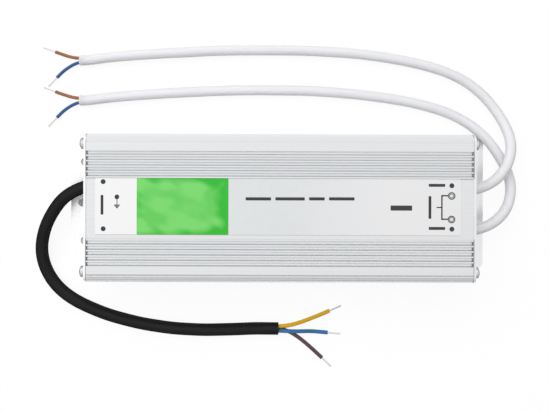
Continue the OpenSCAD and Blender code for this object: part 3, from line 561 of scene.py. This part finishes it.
def hoop(centre, outer, inner, base, height, columns=40):
    """Flat ring: its section, a rectangle, carried round a circle and closed on itself."""
    section = ((outer, base), (outer, base + height), (inner, base + height), (inner, base))
    rows = [np.column_stack([disc(centre, r, columns), np.full(columns, z)]) for r, z in section]
    return shell(np.stack(rows), closed=True)


def feed(tree, node, inputs):
    """Gives a node its inputs: a socket is linked, and a value is set on the node itself."""
    for socket, value in inputs.items():
        if isinstance(value, bpy.types.NodeSocket):
            tree.links.new(value, node.inputs[socket])
        else:
            node.inputs[socket].default_value = value
    return node


def add(tree, kind, inputs=None, **settings):
    """New shader node with its settings and inputs."""
    made = tree.nodes.new("ShaderNode" + kind)
    for key, value in settings.items():
        setattr(made, key, value)
    return feed(tree, made, inputs or {})


def maths(tree, operation, first, second=0.0):
    """Result of one operation on one or two numbers."""
    return add(tree, "Math", {0: first, 1: second}, operation=operation).outputs[0]


def times(tree, first, second):
    """Product of two numbers."""
    return maths(tree, "MULTIPLY", first, second)


def vectors(tree, operation, first, second=(0.0, 0.0, 0.0), output="Vector"):
    """Result of one operation on one or two vectors."""
    return add(tree, "VectorMath", {0: first, 1: second}, operation=operation).outputs[output]


def scaled(tree, first, factor):
    """Vector or colour times a number."""
    return add(tree, "VectorMath", {0: first, "Scale": factor}, operation="SCALE").outputs[0]


def part_of(tree, whole, index):
    """One of the three numbers of a vector."""
    return add(tree, "SeparateXYZ", {0: whole}).outputs[index]


def ranged(tree, value, low, high, to_low=0.0, to_high=1.0, kind="LINEAR"):
    """Value carried from low..high to to_low..to_high, and held at the ends."""
    inputs = {"Value": value, "From Min": low, "From Max": high, "To Min": to_low, "To Max": to_high}
    return add(tree, "MapRange", inputs, interpolation_type=kind).outputs[0]


def noise(tree, place, scale, detail=2.0, roughness=0.5):
    """Value of a noise at a place."""
    return add(tree, "TexNoise", {
        "Vector": place, "Scale": scale, "Detail": detail, "Roughness": roughness}).outputs[0]


def mixed(tree, share, first, second):
    """Colour between two, each of which is a socket or three numbers."""
    first, second = (
        part if isinstance(part, bpy.types.NodeSocket) else (*part, 1.0) for part in (first, second))
    return add(tree, "Mix", {0: share, 6: first, 7: second}, data_type="RGBA").outputs[2]


def coordinates(tree, kind="Object"):
    """Place on the object, or on its UV map."""
    return add(tree, "TexCoord").outputs[kind]


def blended(tree, share, first, second):
    """Carries a mixture of two shaders to the material's surface."""
    both = add(tree, "MixShader", {0: share, 1: first, 2: second})
    tree.links.new(both.outputs[0], tree.nodes["Material Output"].inputs["Surface"])


def new_material(name):
    """Material with its node tree and its shader."""
    material = bpy.data.materials.new(name)
    material.use_nodes = True
    return material, material.node_tree, material.node_tree.nodes["Principled BSDF"]


def shared_group(title, inputs, build):
    """Node group with named inputs, which puts out the tone and the height that build makes of them."""
    group = bpy.data.node_groups.new(title, "ShaderNodeTree")
    for label, value in inputs.items():
        kind = "NodeSocketVector" if isinstance(value, tuple) else "NodeSocketFloat"
        group.interface.new_socket(label, in_out="INPUT", socket_type=kind).default_value = value
    for label in ("Tone", "Height"):
        group.interface.new_socket(label, in_out="OUTPUT", socket_type="NodeSocketFloat")
    tone, height = build(group, group.nodes.new("NodeGroupInput").outputs)
    feed(group, group.nodes.new("NodeGroupOutput"), {"Tone": tone, "Height": height})
    return group


def drawn_lines(group, given):
    """Fine parallel lines: noise stretched by a different rate along each axis, coarse and fine together."""
    stretched = vectors(group, "MULTIPLY", given["Position"], given["Rate"])
    fine = noise(group, stretched, scale=1.6, detail=3.0)
    both = maths(group, "ADD", noise(group, stretched, scale=0.35), fine)
    return ranged(group, both, low=0.75, high=1.25), fine


def grain(group, given):
    """Even grain of one size, with a slow drift over it."""
    drift_rate, drift_share = 0.06, 1.5
    rate = maths(group, "DIVIDE", 1.0, given["Size"])
    fine = noise(group, given["Position"], rate, detail=3.0)
    drift = noise(group, given["Position"], times(group, rate, drift_rate))
    both = maths(group, "ADD", fine, times(group, drift, drift_share))
    return ranged(group, both, low=0.95, high=1.55), fine


def jacket_skin(group, given):
    """Skin of an extruded jacket: streaks along it, made of noise on a cylinder, and a fine speckle.

    The turn u becomes the point (cos u, sin u), so the streaks meet where the UV map does.
    """
    along = part_of(group, given["UV"], 1)
    turn = times(group, part_of(group, given["UV"], 0), 2 * math.pi)
    x, y = (times(group, maths(group, wave, turn), given["Streaks"]) for wave in ("COSINE", "SINE"))
    places = [
        add(group, "CombineXYZ", {0: x, 1: y, 2: times(group, along, given[rate])}).outputs[0]
        for rate in ("Run", "Speckle")]
    speckle_share = 0.5
    speckle = times(group, noise(group, places[1], scale=1.6), speckle_share)
    both = maths(group, "ADD", noise(group, places[0], scale=1.0, detail=3.0), speckle)
    return ranged(group, both, low=0.55, high=0.95), both


def wound_turns(group, given):
    """Turns of wire round a ring: the angle about the ring's axis, times their number, gives a wave."""
    away = vectors(group, "SUBTRACT", given["Position"], given["Centre"])
    angle = maths(group, "ARCTAN2", part_of(group, away, 1), part_of(group, away, 0))
    half = times(group, times(group, angle, given["Count"]), 0.5)
    wave, bulge = maths(group, "ABSOLUTE", maths(group, "COSINE", half)), 0.6
    return maths(group, "POWER", wave, bulge), wave


def level_bands(group, given):
    """Level bands, such as turns of tape: a wave up Z with a slow wander."""
    level = maths(group, "DIVIDE", part_of(group, given["Position"], 2), given["Pitch"])
    saw = maths(group, "FRACT", maths(group, "ADD", level, noise(group, given["Position"], scale=60.0)))
    return ranged(group, saw, low=0.0, high=0.25), saw


def copper_tracks(group, given):
    """Copper tracks under solder mask: thin contours of the distance to the cells of a blocky pattern."""
    cells = add(group, "TexVoronoi", {
        "Vector": given["Position"], "Scale": maths(group, "DIVIDE", 1.0, given["Size"])},
        distance="CHEBYCHEV", feature="F1")
    per_cell = 5.0
    bands = maths(group, "FRACT", times(group, cells.outputs["Distance"], per_cell))
    track = ranged(group, bands, low=0.55, high=0.62)
    return track, track


def clouded_print(group, given):
    """Clouded print: broad leaning drifts of noise, deeper along the rim of a given field.

    The position is turned about Z and drawn out along X, so that the drifts lean. The distance to
    the rim is the smaller part of half - |position - centre|, over the rim's width, less fall times the
    place along X, so that the deep rim is widest at the +X side. The noise makes the rim uneven.
    """
    turn, stretch, least, unevenness, least_field = 0.5, (0.6, 1.0, 1.0), 0.62, 2.4, 0.1
    leaning = add(group, "VectorRotate", {"Vector": given["Position"], "Angle": turn}, rotation_type="Z_AXIS")
    stretched = vectors(group, "MULTIPLY", leaning.outputs[0], stretch)
    rate = maths(group, "DIVIDE", 1.0, given["Size"])
    drifts = noise(group, stretched, rate, detail=1.5, roughness=0.45)
    clouds = ranged(group, drifts, low=0.3, high=0.55, to_low=least, kind="SMOOTHSTEP")
    away = vectors(group, "SUBTRACT", given["Position"], given["Centre"])
    fall = times(group, part_of(group, away, 0), given["Fall"])
    inside = vectors(group, "SUBTRACT", given["Half"], vectors(group, "ABSOLUTE", away))
    nearest = maths(group, "MINIMUM", part_of(group, inside, 0), part_of(group, inside, 1))
    to_rim = maths(group, "SUBTRACT", maths(group, "DIVIDE", nearest, given["Rim"]), fall)
    uneven = times(group, maths(group, "SUBTRACT", drifts, 0.5), unevenness)
    field = ranged(group, maths(group, "ADD", to_rim, uneven), 0.0, 1.0, least_field)
    return times(group, clouds, field), drifts


# Shared patterns: title, what builds it, and its inputs, of which the first takes the place
ORIGIN = (0.0, 0.0, 0.0)
PATTERNS = {
    "lines": ("Drawn lines", drawn_lines, {"Position": ORIGIN, "Rate": (8.0, 900.0, 900.0)}),
    "grain": ("Grain", grain, {"Position": ORIGIN, "Size": 0.0006}),
    "jacket": ("Jacket skin", jacket_skin, {"UV": ORIGIN, "Streaks": 5.0, "Run": 40.0, "Speckle": 2500.0}),
    "turns": ("Wound turns", wound_turns, {"Position": ORIGIN, "Centre": ORIGIN, "Count": 60.0}),
    "layers": ("Level bands", level_bands, {"Position": ORIGIN, "Pitch": 0.001}),
    "tracks": ("Tracks", copper_tracks, {"Position": ORIGIN, "Size": 0.012}),
    "clouds": ("Clouded print", clouded_print, {
        "Position": ORIGIN, "Size": 0.006, "Centre": ORIGIN, "Half": (1.0, 1.0, 1.0), "Rim": 0.004,
        "Fall": 25.0}),
}


def pattern(tree, kind, **values):
    """Tone and height of a shared pattern, placed in a material with its own values."""
    title, build, inputs = PATTERNS[kind]
    group = bpy.data.node_groups.get(title) or shared_group(title, inputs, build)
    place = coordinates(tree, "UV" if "UV" in inputs else "Object")
    made = add(tree, "Group", {0: place, **values}, node_tree=group)
    return made.outputs["Tone"], made.outputs["Height"]


def openness(tree, reach, lean):
    """1 where nothing stands within reach of a surface, and less in its corners.

    Lean times a high power of the normal's Z is added to the normal, so that what faces straight up
    gets more painted shade beside walls on that side.
    """
    corner = add(tree, "AmbientOcclusion", {"Distance": reach}, samples=12)
    if lean:
        normal = add(tree, "NewGeometry").outputs["Normal"]
        up = maths(tree, "MAXIMUM", part_of(tree, normal, 2), 0.0)
        slope = scaled(tree, lean, maths(tree, "POWER", up, LEAN_POWER))
        feed(tree, corner, {"Normal": vectors(tree, "ADD", normal, slope)})
    return corner.outputs["AO"]


UNSHADED_COLOUR = "Clean colour"


def finish(name, colour, kind="grain", dark=0.9, roughness=0.5, spread=0.05, metallic=0.0, coat=0.0,
           relief=0.00001, specular=0.5, rim=0.0, rim_shade=1.0, corner_shade=0.0, reach=0.0015,
           lean=None, soft=0.0, **values):
    """Finish whose colour runs from dark x colour to colour, and its roughness with it, by a shared pattern.

    Relief is the height of the pattern in metres, and the values set the pattern's own inputs. Where the
    surface is seen at a slant, the rim share of the shader gives way to a matt copy whose colour is the rim
    shade share of the colour: painted dark edges. In corners, where something else stands within reach,
    the colour loses a share of itself: painted shade, and lean paints more of it on one side. Soft is the
    share of the light that spreads under the skin.
    """
    material, tree, shader = new_material(name)
    tone, height = pattern(tree, kind, **values)
    colour = tuple(colour)
    dark = dark if isinstance(dark, tuple) else tuple(c * dark for c in colour)
    base = unshaded = mixed(tree, tone, dark, colour)
    unshaded.node.name = UNSHADED_COLOUR
    # Painted shade: the colour darkens in corners, by the openness of the surface.
    if corner_shade:
        base = scaled(tree, unshaded, ranged(tree, openness(tree, reach, lean), *CORNER_SHADE_RANGE, 1.0 - corner_shade, 1.0))
    bump = add(tree, "Bump", {"Height": height, "Strength": 1.0, "Distance": relief}).outputs[0]
    feed(tree, shader, {
        "Base Color": base, "Normal": bump, "Metallic": metallic, "Coat Weight": coat,
        "Roughness": ranged(tree, tone, 0.0, 1.0, roughness + spread, roughness - spread),
        "Specular IOR Level": specular, "Subsurface Weight": soft, "Subsurface Radius": (1.0, 1.0, 1.0),
        "Subsurface Scale": SKIN_DEPTH})
    # Painted dark edges: where the surface is seen at a slant, the shader gives way to a matt, darker copy.
    if rim:
        slant = add(tree, "LayerWeight", {"Blend": SLANT_BLEND}).outputs["Facing"]
        matt = add(tree, "BsdfDiffuse", {"Color": scaled(tree, unshaded, rim_shade), "Normal": bump})
        blended(tree, times(tree, slant, rim), shader.outputs[0], matt.outputs[0])
    return material


def insulation(name, colour):
    """Smooth plastic of a core, with faint streaks along it."""
    return finish(name, colour, "jacket", dark=0.78, roughness=0.38, spread=0.06, relief=0.00002,
                  specular=0.33, Streaks=2.5, Run=60.0, Speckle=900.0)


def strand_finish():
    """Tinned copper of the bare strands, made once for all cords."""
    name = "tinned_copper"
    # Its colour darkens between the strands: painted shade.
    return bpy.data.materials.get(name) or finish(
        name, (0.56, 0.56, 0.57), dark=(0.16, 0.15, 0.15), roughness=0.3, metallic=1.0, relief=0.000004,
        corner_shade=0.7, reach=0.0003, Size=0.0004)


class SUPPLY_OT_stage(bpy.types.Operator):
    """Make the camera, the pale floor and the soft light"""

    bl_idname = "supply.stage"
    bl_label = "Stage"

    def execute(self, context):
        settings = context.scene.supply_stage
        self.make_camera(context.scene, settings)
        self.make_floor(settings)
        self.make_world(context.scene, settings)
        self.make_lamps(settings)
        context.scene.view_settings.view_transform = "Standard"
        return {"FINISHED"}

    def make_camera(self, scene, settings):
        data = bpy.data.cameras.new("camera")
        data.lens, data.sensor_width = settings.lens, 36.0
        data.shift_x, data.shift_y = settings.shift
        data.clip_start, data.clip_end = 0.02, 20.0
        made = new_object("camera", data)
        made.location = settings.camera
        made.rotation_euler = (0.0, 0.0, settings.roll)
        scene.camera = made

    def make_floor(self, settings):
        """Pale floor, which mostly glows white where it is seen directly and keeps a share of its shade."""
        half, level = settings.floor_size / 2, settings.floor_level
        grey, glow, glow_share = 0.6, 1.1, 0.82
        mesh = bpy.data.meshes.new("floor")
        corners = [(-half, -half, level), (half, -half, level), (half, half, level), (-half, half, level)]
        mesh.from_pydata(corners, [], [(0, 1, 2, 3)])
        material, tree, shader = new_material("floor")
        feed(tree, shader, {
            "Base Color": (grey, grey, grey, 1.0), "Roughness": 0.9, "Specular IOR Level": 0.1})
        glowing = add(tree, "Emission", {"Strength": glow})
        path = add(tree, "LightPath").outputs
        seen = maths(tree, "MAXIMUM", path["Is Camera Ray"], path["Is Glossy Ray"])
        seen = maths(tree, "MAXIMUM", seen, path["Is Transmission Ray"])
        share = times(tree, times(tree, seen, glow_share), self.beside_holes(tree))
        blended(tree, share, shader.outputs[0], glowing.outputs[0])
        mesh.materials.append(material)
        new_object("floor", mesh)

    def beside_holes(self, tree):
        """0 on the ground under the four mounting holes, which is seen in its own shade, and 1 elsewhere."""
        folded = vectors(tree, "ABSOLUTE", coordinates(tree))
        flat = vectors(tree, "MULTIPLY", folded, (1.0, 1.0, 0.0))
        away, margin = vectors(tree, "DISTANCE", flat, HOLE_PLACE, "Value"), 1.15
        return maths(tree, "GREATER_THAN", away, HOLE_RADIUS * margin)

    def make_world(self, scene, settings):
        """Light of the world: white where it is seen, dimmer away from light_from on matt pieces, and what
        shiny pieces reflect, which grows with the height and along the tilt."""
        world = scene.world = bpy.data.worlds.new("soft_light")
        world.use_nodes = True
        tree = world.node_tree
        direction = coordinates(tree, "Generated")
        away, near, horizon, above = -0.4, 0.7, 0.0, 0.5
        towards = vectors(tree, "DOT_PRODUCT", direction, settings.light_from, "Value")
        even = ranged(tree, towards, away, near, settings.world_low, settings.world_high)
        mirrored = ranged(tree, part_of(tree, direction, 2), horizon, above, settings.mirrored_low,
                          settings.mirrored_high, "SMOOTHSTEP")
        tilt = vectors(tree, "DOT_PRODUCT", direction, settings.mirrored_tilt, "Value")
        tilted = times(tree, mirrored, maths(tree, "ADD", tilt, 1.0))
        path = add(tree, "LightPath").outputs
        lit = add(tree, "Mix", {0: path["Is Glossy Ray"], 2: even, 3: tilted}).outputs[0]
        plain = maths(tree, "MAXIMUM", path["Is Camera Ray"], path["Is Transmission Ray"])
        strength = add(tree, "Mix", {0: plain, 2: lit, 3: 1.0}).outputs[0]
        feed(tree, tree.nodes["Background"], {"Color": (1.0, 1.0, 1.0, 1.0), "Strength": strength})

    def make_lamps(self, settings):
        """Square lamps that look at the origin. The camera and reflections don't see them."""
        for name, place, size, share in (
                ("key_light", (-0.5, 0.7, 1.4), 1.5, 1.0), ("fill_light", (0.4, -1.3, 1.0), 1.6, 0.04)):
            data = bpy.data.lights.new(name, "AREA")
            data.shape, data.size, data.energy = "SQUARE", size, settings.key_power * share
            made = new_object(name, data)
            made.location = place
            made.rotation_mode = "QUATERNION"
            made.rotation_quaternion = made.location.to_track_quat("Z", "Y")
            made.visible_camera = made.visible_glossy = False


def cut_cord(cord_node, wire_node, route, sizes, jacket, cores):
    """One cord with its cores and bare strands.

    Sizes are the diameters of the jacket, of a core and of its bare bundle. Jacket is a material with its
    slot, and a core is its node, its route, a material and its slot. It starts inside the jacket's mouth,
    at the same offset from the middle line as at the cut end.
    """
    settings = bpy.context.scene.supply_cords
    diameter, core_diameter, bundle_diameter = sizes
    line = Line(route, diameter / 2 + LIFT)
    wall = sheath(line, diameter / 2, diameter * JACKET_BORE, settings.mouth_depth, columns=40, step=0.0008,
                  ripple=settings.ripple, lobes=len(cores))
    made = piece(cord_node.replace("cord", "jacket"), [wall], *jacket, (cord_node,))
    back = line.at([line.length])[3][0] * (settings.mouth_depth * CORE_START)
    others, strands = [], []
    for index, (core_node, core_route, *core_finish) in enumerate(cores):
        core_line = Line(np.vstack([np.array(core_route[0]) - back, core_route]), core_diameter / 2 + LIFT)
        wall = sheath(core_line, core_diameter / 2, bundle_diameter / 2 * CORE_BORE, CORE_MOUTH,
                      columns=24, step=0.0005)
        others.append(piece(core_node.replace("core", "insulation"), [wall], *core_finish, (core_node,)))
        strands += bundle(core_line, settings.bare_length, bundle_diameter / 2, settings.strand_count, index)
    others.append(piece(
        wire_node.replace("wire_ends", "strands"), strands, strand_finish(), "tinned_copper", (wire_node,)))


class SUPPLY_OT_input_cord(bpy.types.Operator):
    """Make the black input cord with its three cores and bare ends"""

    bl_idname = "supply.input_cord"
    bl_label = "Input cord"

    def execute(self, context):
        settings, colours = context.scene.supply_cords, context.scene.supply_finish
        # Its rim paints dark edges where the cord is seen at a slant.
        jacket = finish("black_jacket", colours.black_jacket, "jacket", dark=0.55, roughness=0.46,
                        spread=0.08, relief=0.00005, specular=0.25, rim=1.6, Streaks=3.0, Run=90.0,
                        Speckle=1400.0)
        cores = [
            (name + "_core", route, insulation(name + "_insulation", getattr(colours, name)), slot)
            for name, route, slot in (
                ("earth", EARTH_ROUTE, "yellow_insulation"), ("neutral", NEUTRAL_ROUTE, "blue_insulation"),
                ("live", LIVE_ROUTE, "dark_brown_insulation"))]
        cut_cord("input_cord", "input_wire_ends", INPUT_ROUTE,
                 (settings.input_diameter, settings.input_core, settings.input_bundle),
                 (jacket, "black_jacket"), cores)
        return {"FINISHED"}


class SUPPLY_OT_output_cords(bpy.types.Operator):
    """Make the two white output cords with their brown and blue cores and bare ends"""

    bl_idname = "supply.output_cords"
    bl_label = "Output cords"

    def execute(self, context):
        settings, colours = context.scene.supply_cords, context.scene.supply_finish
        # The white jackets carry painted shade where they come near the floor, the housing and each other.
        jacket = finish("white_jacket", colours.white_jacket, "jacket", dark=0.96, roughness=0.42,
                        relief=0.00002, corner_shade=0.3, reach=0.003, soft=0.6, Streaks=2.0, Run=30.0,
                        Speckle=700.0)
        brown = insulation("brown_insulation", colours.brown)
        navy = insulation("navy_insulation", colours.navy)
        for which, route in ((1, OUTPUT_ROUTE_1), (2, OUTPUT_ROUTE_2)):
            end = np.array(route[-1])
            cores = (
                (f"output_{which}_brown_core", end + BROWN_STEPS, brown, "brown_insulation"),
                (f"output_{which}_blue_core", end + BLUE_STEPS, navy, "navy_insulation"))
            cut_cord(f"output_cord_{which}", f"output_{which}_wire_ends", route,
                     (settings.output_diameter, settings.output_core, settings.output_bundle),
                     (jacket, "white_jacket"), cores)
        return {"FINISHED"}


class SUPPLY_OT_screws(bpy.types.Operator):
    """Make the eight end screws and the two bonding screws"""

    bl_idname = "supply.screws"
    bl_label = "Screws"

    def execute(self, context):
        settings = context.scene.supply_screws
        head = (settings.head_diameter / 2, settings.head_height)
        # Painted shade: the plated steel darkens in the cross recesses and at the seat, and its rim paints
        # dark edges round the heads.
        steel = finish("zinc_plated", (0.72, 0.72, 0.735), dark=0.8, roughness=0.2, spread=0.06, metallic=0.9,
                       relief=0.000004, rim=1.2, rim_shade=0.3, corner_shade=0.5, reach=0.0012, Size=0.0004)
        # The bonding screws get a paler, less metallic copy of the plated steel: painted light. Its rim
        # paints dark edges.
        lit_steel = finish("zinc_plated_pale", (0.66, 0.68, 0.69), dark=0.85, roughness=0.35, spread=0.06,
                      metallic=0.35, relief=0.000004, rim=0.9, rim_shade=0.35, Size=0.0004)
        for name, sign in (("input_end", -1), ("output_end", 1)):
            shells, axes = [], ((0, sign, 0), (0, 0, 1), (sign, 0, 0))
            for index, (y, z) in enumerate(PORT_PLACES):
                screw = pan_head(settings.shank_diameter / 2, settings.length, settings.pitch, *head,
                                 turn=0.4 + 1.1 * index + 0.5 * sign)
                shells.append(placed(screw, (sign * PLATE_OUTER, y, z), axes))
            piece(name + "_pan_heads", shells, steel, "plated_steel", (name + "_screws",))
        shells = []
        for sign in (-1, 1):
            screw = pan_head(settings.bond_diameter / 2, EAR_TOP, settings.pitch, *head, turn=0.35 * sign)
            shells.append(placed(screw, (sign * BOND_SCREW_X, 0.0, EAR_TOP), np.identity(3)))
        piece("bonding_pan_heads", shells, lit_steel, "plated_steel", ("bonding_screws",))
        return {"FINISHED"}


class SUPPLY_OT_label(bpy.types.Operator):
    """Make the label film, its green patch and its plain marks"""

    bl_idname = "supply.label"
    bl_label = "Label"

    def execute(self, context):
        settings, colours = context.scene.supply_label, context.scene.supply_finish
        film = finish("label_film", colours.film, dark=0.97, spread=0.04, relief=0.000002, Size=0.004)
        self.make_zones(film.node_tree, settings, colours)
        outline = rounded(settings.centre, settings.size, corner=0.0008)
        piece("printed_film", [slab(outline, settings.base, settings.thickness, edge=0.00004)], film,
              "silver_film", ("label_film",))
        top = settings.base + settings.thickness
        centre, size = settings.patch_centre, settings.patch_size
        green = finish("green_film", colours.green, "clouds", dark=tuple(colours.green_deep), roughness=0.4,
                       relief=0.000002, Size=0.009, Centre=(*centre, 0.0),
                       Half=(size[0] / 2, size[1] / 2, 1.0))
        outline = rounded(centre, size, corner=0.0005)
        piece("green_field", [slab(outline, top, settings.patch_thickness, edge=0.00003)], green,
              "green_film", ("green_patch",))
        self.make_marks(settings, colours, top)
        return {"FINISHED"}

    def make_zones(self, tree, settings, colours):
        """The film is white up to the patch, and past it turns paler from the middle towards the output end.
        """
        fade_start, fade_end = 0.0, 0.06
        along = part_of(tree, coordinates(tree), 0)
        fade = ranged(tree, along, fade_start, fade_end, kind="SMOOTHSTEP")
        silver = mixed(tree, fade, tree.nodes[UNSHADED_COLOUR].outputs[2], colours.film_far)
        past = maths(tree, "GREATER_THAN", along, settings.patch_centre[0])
        both = mixed(tree, past, colours.film_white, silver)
        tree.links.new(both, tree.nodes["Principled BSDF"].inputs["Base Color"])

    def make_marks(self, settings, colours, top):
        """Dots, the plain mark near the input, the rings with their bracket near the outputs, and bars."""
        ink = finish("printed_ink", colours.ink, dark=0.7, Size=0.0008)
        high, line, bracket = settings.ink, settings.line_width, settings.bracket_width
        strokes = (
            ((-0.08317, 0.00343), (line, 0.004)), ((-0.0832, 0.00163), (0.0031, 0.0005)),
            ((-0.0832, 0.00103), (0.0021, 0.0005)), ((-0.0832, 0.00038), (0.001, 0.0006)),
            ((0.0813, 0.00103), (0.0028, bracket * 0.8)), ((0.0827, 0.00104), (bracket, 0.0127)),
            ((0.08417, 0.00704), (0.0032, bracket)), ((0.08422, -0.00496), (0.0032, bracket)))
        outlines = [disc(place, settings.dot_radius) for place in DOTS] + [disc(*MARK_DOT)]
        outlines += [rounded(place, size, min(size) * 0.3, per_corner=3) for place, size in strokes]
        outlines += [rounded(place, size, 0.0003, per_corner=3) for place, size in BARS]
        shells = [slab(outline, top, high) for outline in outlines]
        shells += [hoop(place, *radii, top, high) for place in RING_PLACES for radii in RING_RADII]
        piece("label_marks", shells, ink, "silver_film")


def cover(node, material):
    """Gives a finish to one CAD node."""
    materials = frame["nodes"][node].data.materials
    materials.clear()
    materials.append(material)


def dress(slot, material):
    """Gives a finish to every CAD node of a material slot of the record."""
    for part in frame["record"]["subparts"]:
        if part["material_slot"] == slot:
            cover(part["node"], material)


class SUPPLY_OT_tube_finish(bpy.types.Operator):
    """Finish the anodised tube and the brushed end plates"""

    bl_idname = "supply.tube_finish"
    bl_label = "Tube and plates"

    def execute(self, context):
        colours = context.scene.supply_finish
        # The tube's painted shade fills its grooves and corners, and leans towards walls on the +Y side,
        # standing in for the shade of light from +Y.
        tube = finish("anodised_tube", colours.aluminium, "lines", dark=0.97, roughness=0.36, spread=0.04,
                      metallic=1.0, relief=0.000003, corner_shade=0.8, reach=0.001, lean=(0.0, 0.9, 0.0),
                      Rate=(7.0, 2600.0, 2600.0))
        self.calm_shoulder(tube.node_tree)
        dress("extruded_aluminium", tube)
        # Lit and shaded copies of one brushed finish: the input plate's whiter colour is painted light, the
        # output plate's painted shade, which the heat spreaders share; their small corner shade is painted
        # too.
        for node, colour, roughness in (
                ("input_end_plate", colours.input_plate, 0.34),
                ("output_end_plate", colours.output_plate, 0.42),
                ("heat_spreaders", colours.output_plate, 0.42)):
            cover(node, finish(node, colour, "lines", dark=0.97, roughness=roughness, metallic=1.0,
                               relief=0.000004, corner_shade=0.15, Rate=(2600.0, 30.0, 2600.0)))
        return {"FINISHED"}

    def calm_shoulder(self, tree):
        """The far shoulder's lines are worn nearly flush: its normal leans back to +Z, and its colour has no
        painted corner shade.
        """
        shader = tree.nodes["Principled BSDF"]
        shoulder_start, shoulder_full = 0.0310, 0.0316
        far = ranged(tree, part_of(tree, coordinates(tree), 1), shoulder_start, shoulder_full)
        facing_up = part_of(tree, add(tree, "NewGeometry").outputs["Normal"], 2)
        share = times(tree, far, ranged(tree, facing_up, 0.1, 0.4, 0.0, 0.9))
        for label, calm in (("Normal", (0.0, 0.0, 1.0)), ("Base Color", tree.nodes[UNSHADED_COLOUR].outputs[2])):
            given = shader.inputs[label].links[0].from_socket
            both = add(tree, "Mix", {0: share, 4: given, 5: calm}, data_type="VECTOR")
            tree.links.new(both.outputs[1], shader.inputs[label])


class SUPPLY_OT_inner_finish(bpy.types.Operator):
    """Finish the seals, the circuit board and the parts on it"""

    bl_idname = "supply.inner_finish"
    bl_label = "Seals and inner parts"

    def execute(self, context):
        for slot, (colour, kind, values) in NODE_FINISHES.items():
            material = finish(slot, colour, kind, **values)
            dress(slot, material)
            if slot == "gasket_rubber":
                self.paint_seal_shade(material.node_tree)
        for node in ("filter_choke_windings", "output_choke_winding"):
            low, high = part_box(node)
            # The windings' colour darkens between the turns: painted shade in the creases.
            cover(node, finish(node, (0.5, 0.2, 0.07), "turns", dark=0.35, roughness=0.3, metallic=0.6,
                               relief=0.0002, Centre=tuple((low + high) / 2), Count=70.0))
        return {"FINISHED"}

    def paint_seal_shade(self, tree):
        """Across the tube's end the gaskets carry painted shade: none under the band, most where the grooves
        end, and more on the -Y flat than on the +Y flat.
        """
        across = part_of(tree, coordinates(tree), 1)
        ramp = add(tree, "ValToRGB", {0: ranged(tree, across, -HALF_WIDTH, HALF_WIDTH)})
        stops = ramp.color_ramp
        stops.interpolation = "CONSTANT"
        for index, (start, tone) in enumerate(SEAL_SHADES):
            stop = stops.elements[index] if index < 2 else stops.elements.new(1.0)
            stop.position = (start / HALF_WIDTH + 1) / 2
            stop.color = (tone, tone, tone, 1.0)
        shaded = vectors(tree, "MULTIPLY", tree.nodes[UNSHADED_COLOUR].outputs[2], ramp.outputs[0])
        tree.links.new(shaded, tree.nodes["Principled BSDF"].inputs["Base Color"])


class SUPPLY_PT_panel(bpy.types.Panel):
    """Sidebar list of the settings and of the pieces that can be made"""

    bl_idname = "SUPPLY_PT_panel"
    bl_label = "Power supply"
    bl_space_type = "VIEW_3D"
    bl_region_type = "UI"
    bl_category = "Power supply"

    def draw(self, context):
        for group in SETTINGS:
            box = self.layout.box()
            box.label(text=group)
            settings = getattr(context.scene, group)
            for name in settings.bl_rna.properties.keys():
                if name not in ("rna_type", "name"):
                    box.prop(settings, name)
        for operator in OPERATORS:
            self.layout.operator(operator.bl_idname)


SETTINGS = {
    "supply_stage": StageSettings, "supply_cords": CordSettings, "supply_screws": ScrewSettings,
    "supply_label": LabelSettings, "supply_finish": FinishSettings,
}
OPERATORS = (
    SUPPLY_OT_stage, SUPPLY_OT_input_cord, SUPPLY_OT_output_cords, SUPPLY_OT_screws, SUPPLY_OT_label,
    SUPPLY_OT_tube_finish, SUPPLY_OT_inner_finish,
)


def register():
    for kind in (*SETTINGS.values(), *OPERATORS, SUPPLY_PT_panel):
        bpy.utils.register_class(kind)
    for name, kind in SETTINGS.items():
        setattr(bpy.types.Scene, name, bpy.props.PointerProperty(type=kind))


def unregister():
    for name in SETTINGS:
        delattr(bpy.types.Scene, name)
    for kind in (SUPPLY_PT_panel, *reversed(OPERATORS), *reversed(SETTINGS.values())):
        bpy.utils.unregister_class(kind)


def main():
    register()
    bpy.ops.supply.stage()
    bpy.ops.supply.input_cord()
    bpy.ops.supply.output_cords()
    bpy.ops.supply.screws()
    bpy.ops.supply.label()
    bpy.ops.supply.tube_finish()
    bpy.ops.supply.inner_finish()


if __name__ == "__main__":
    main()
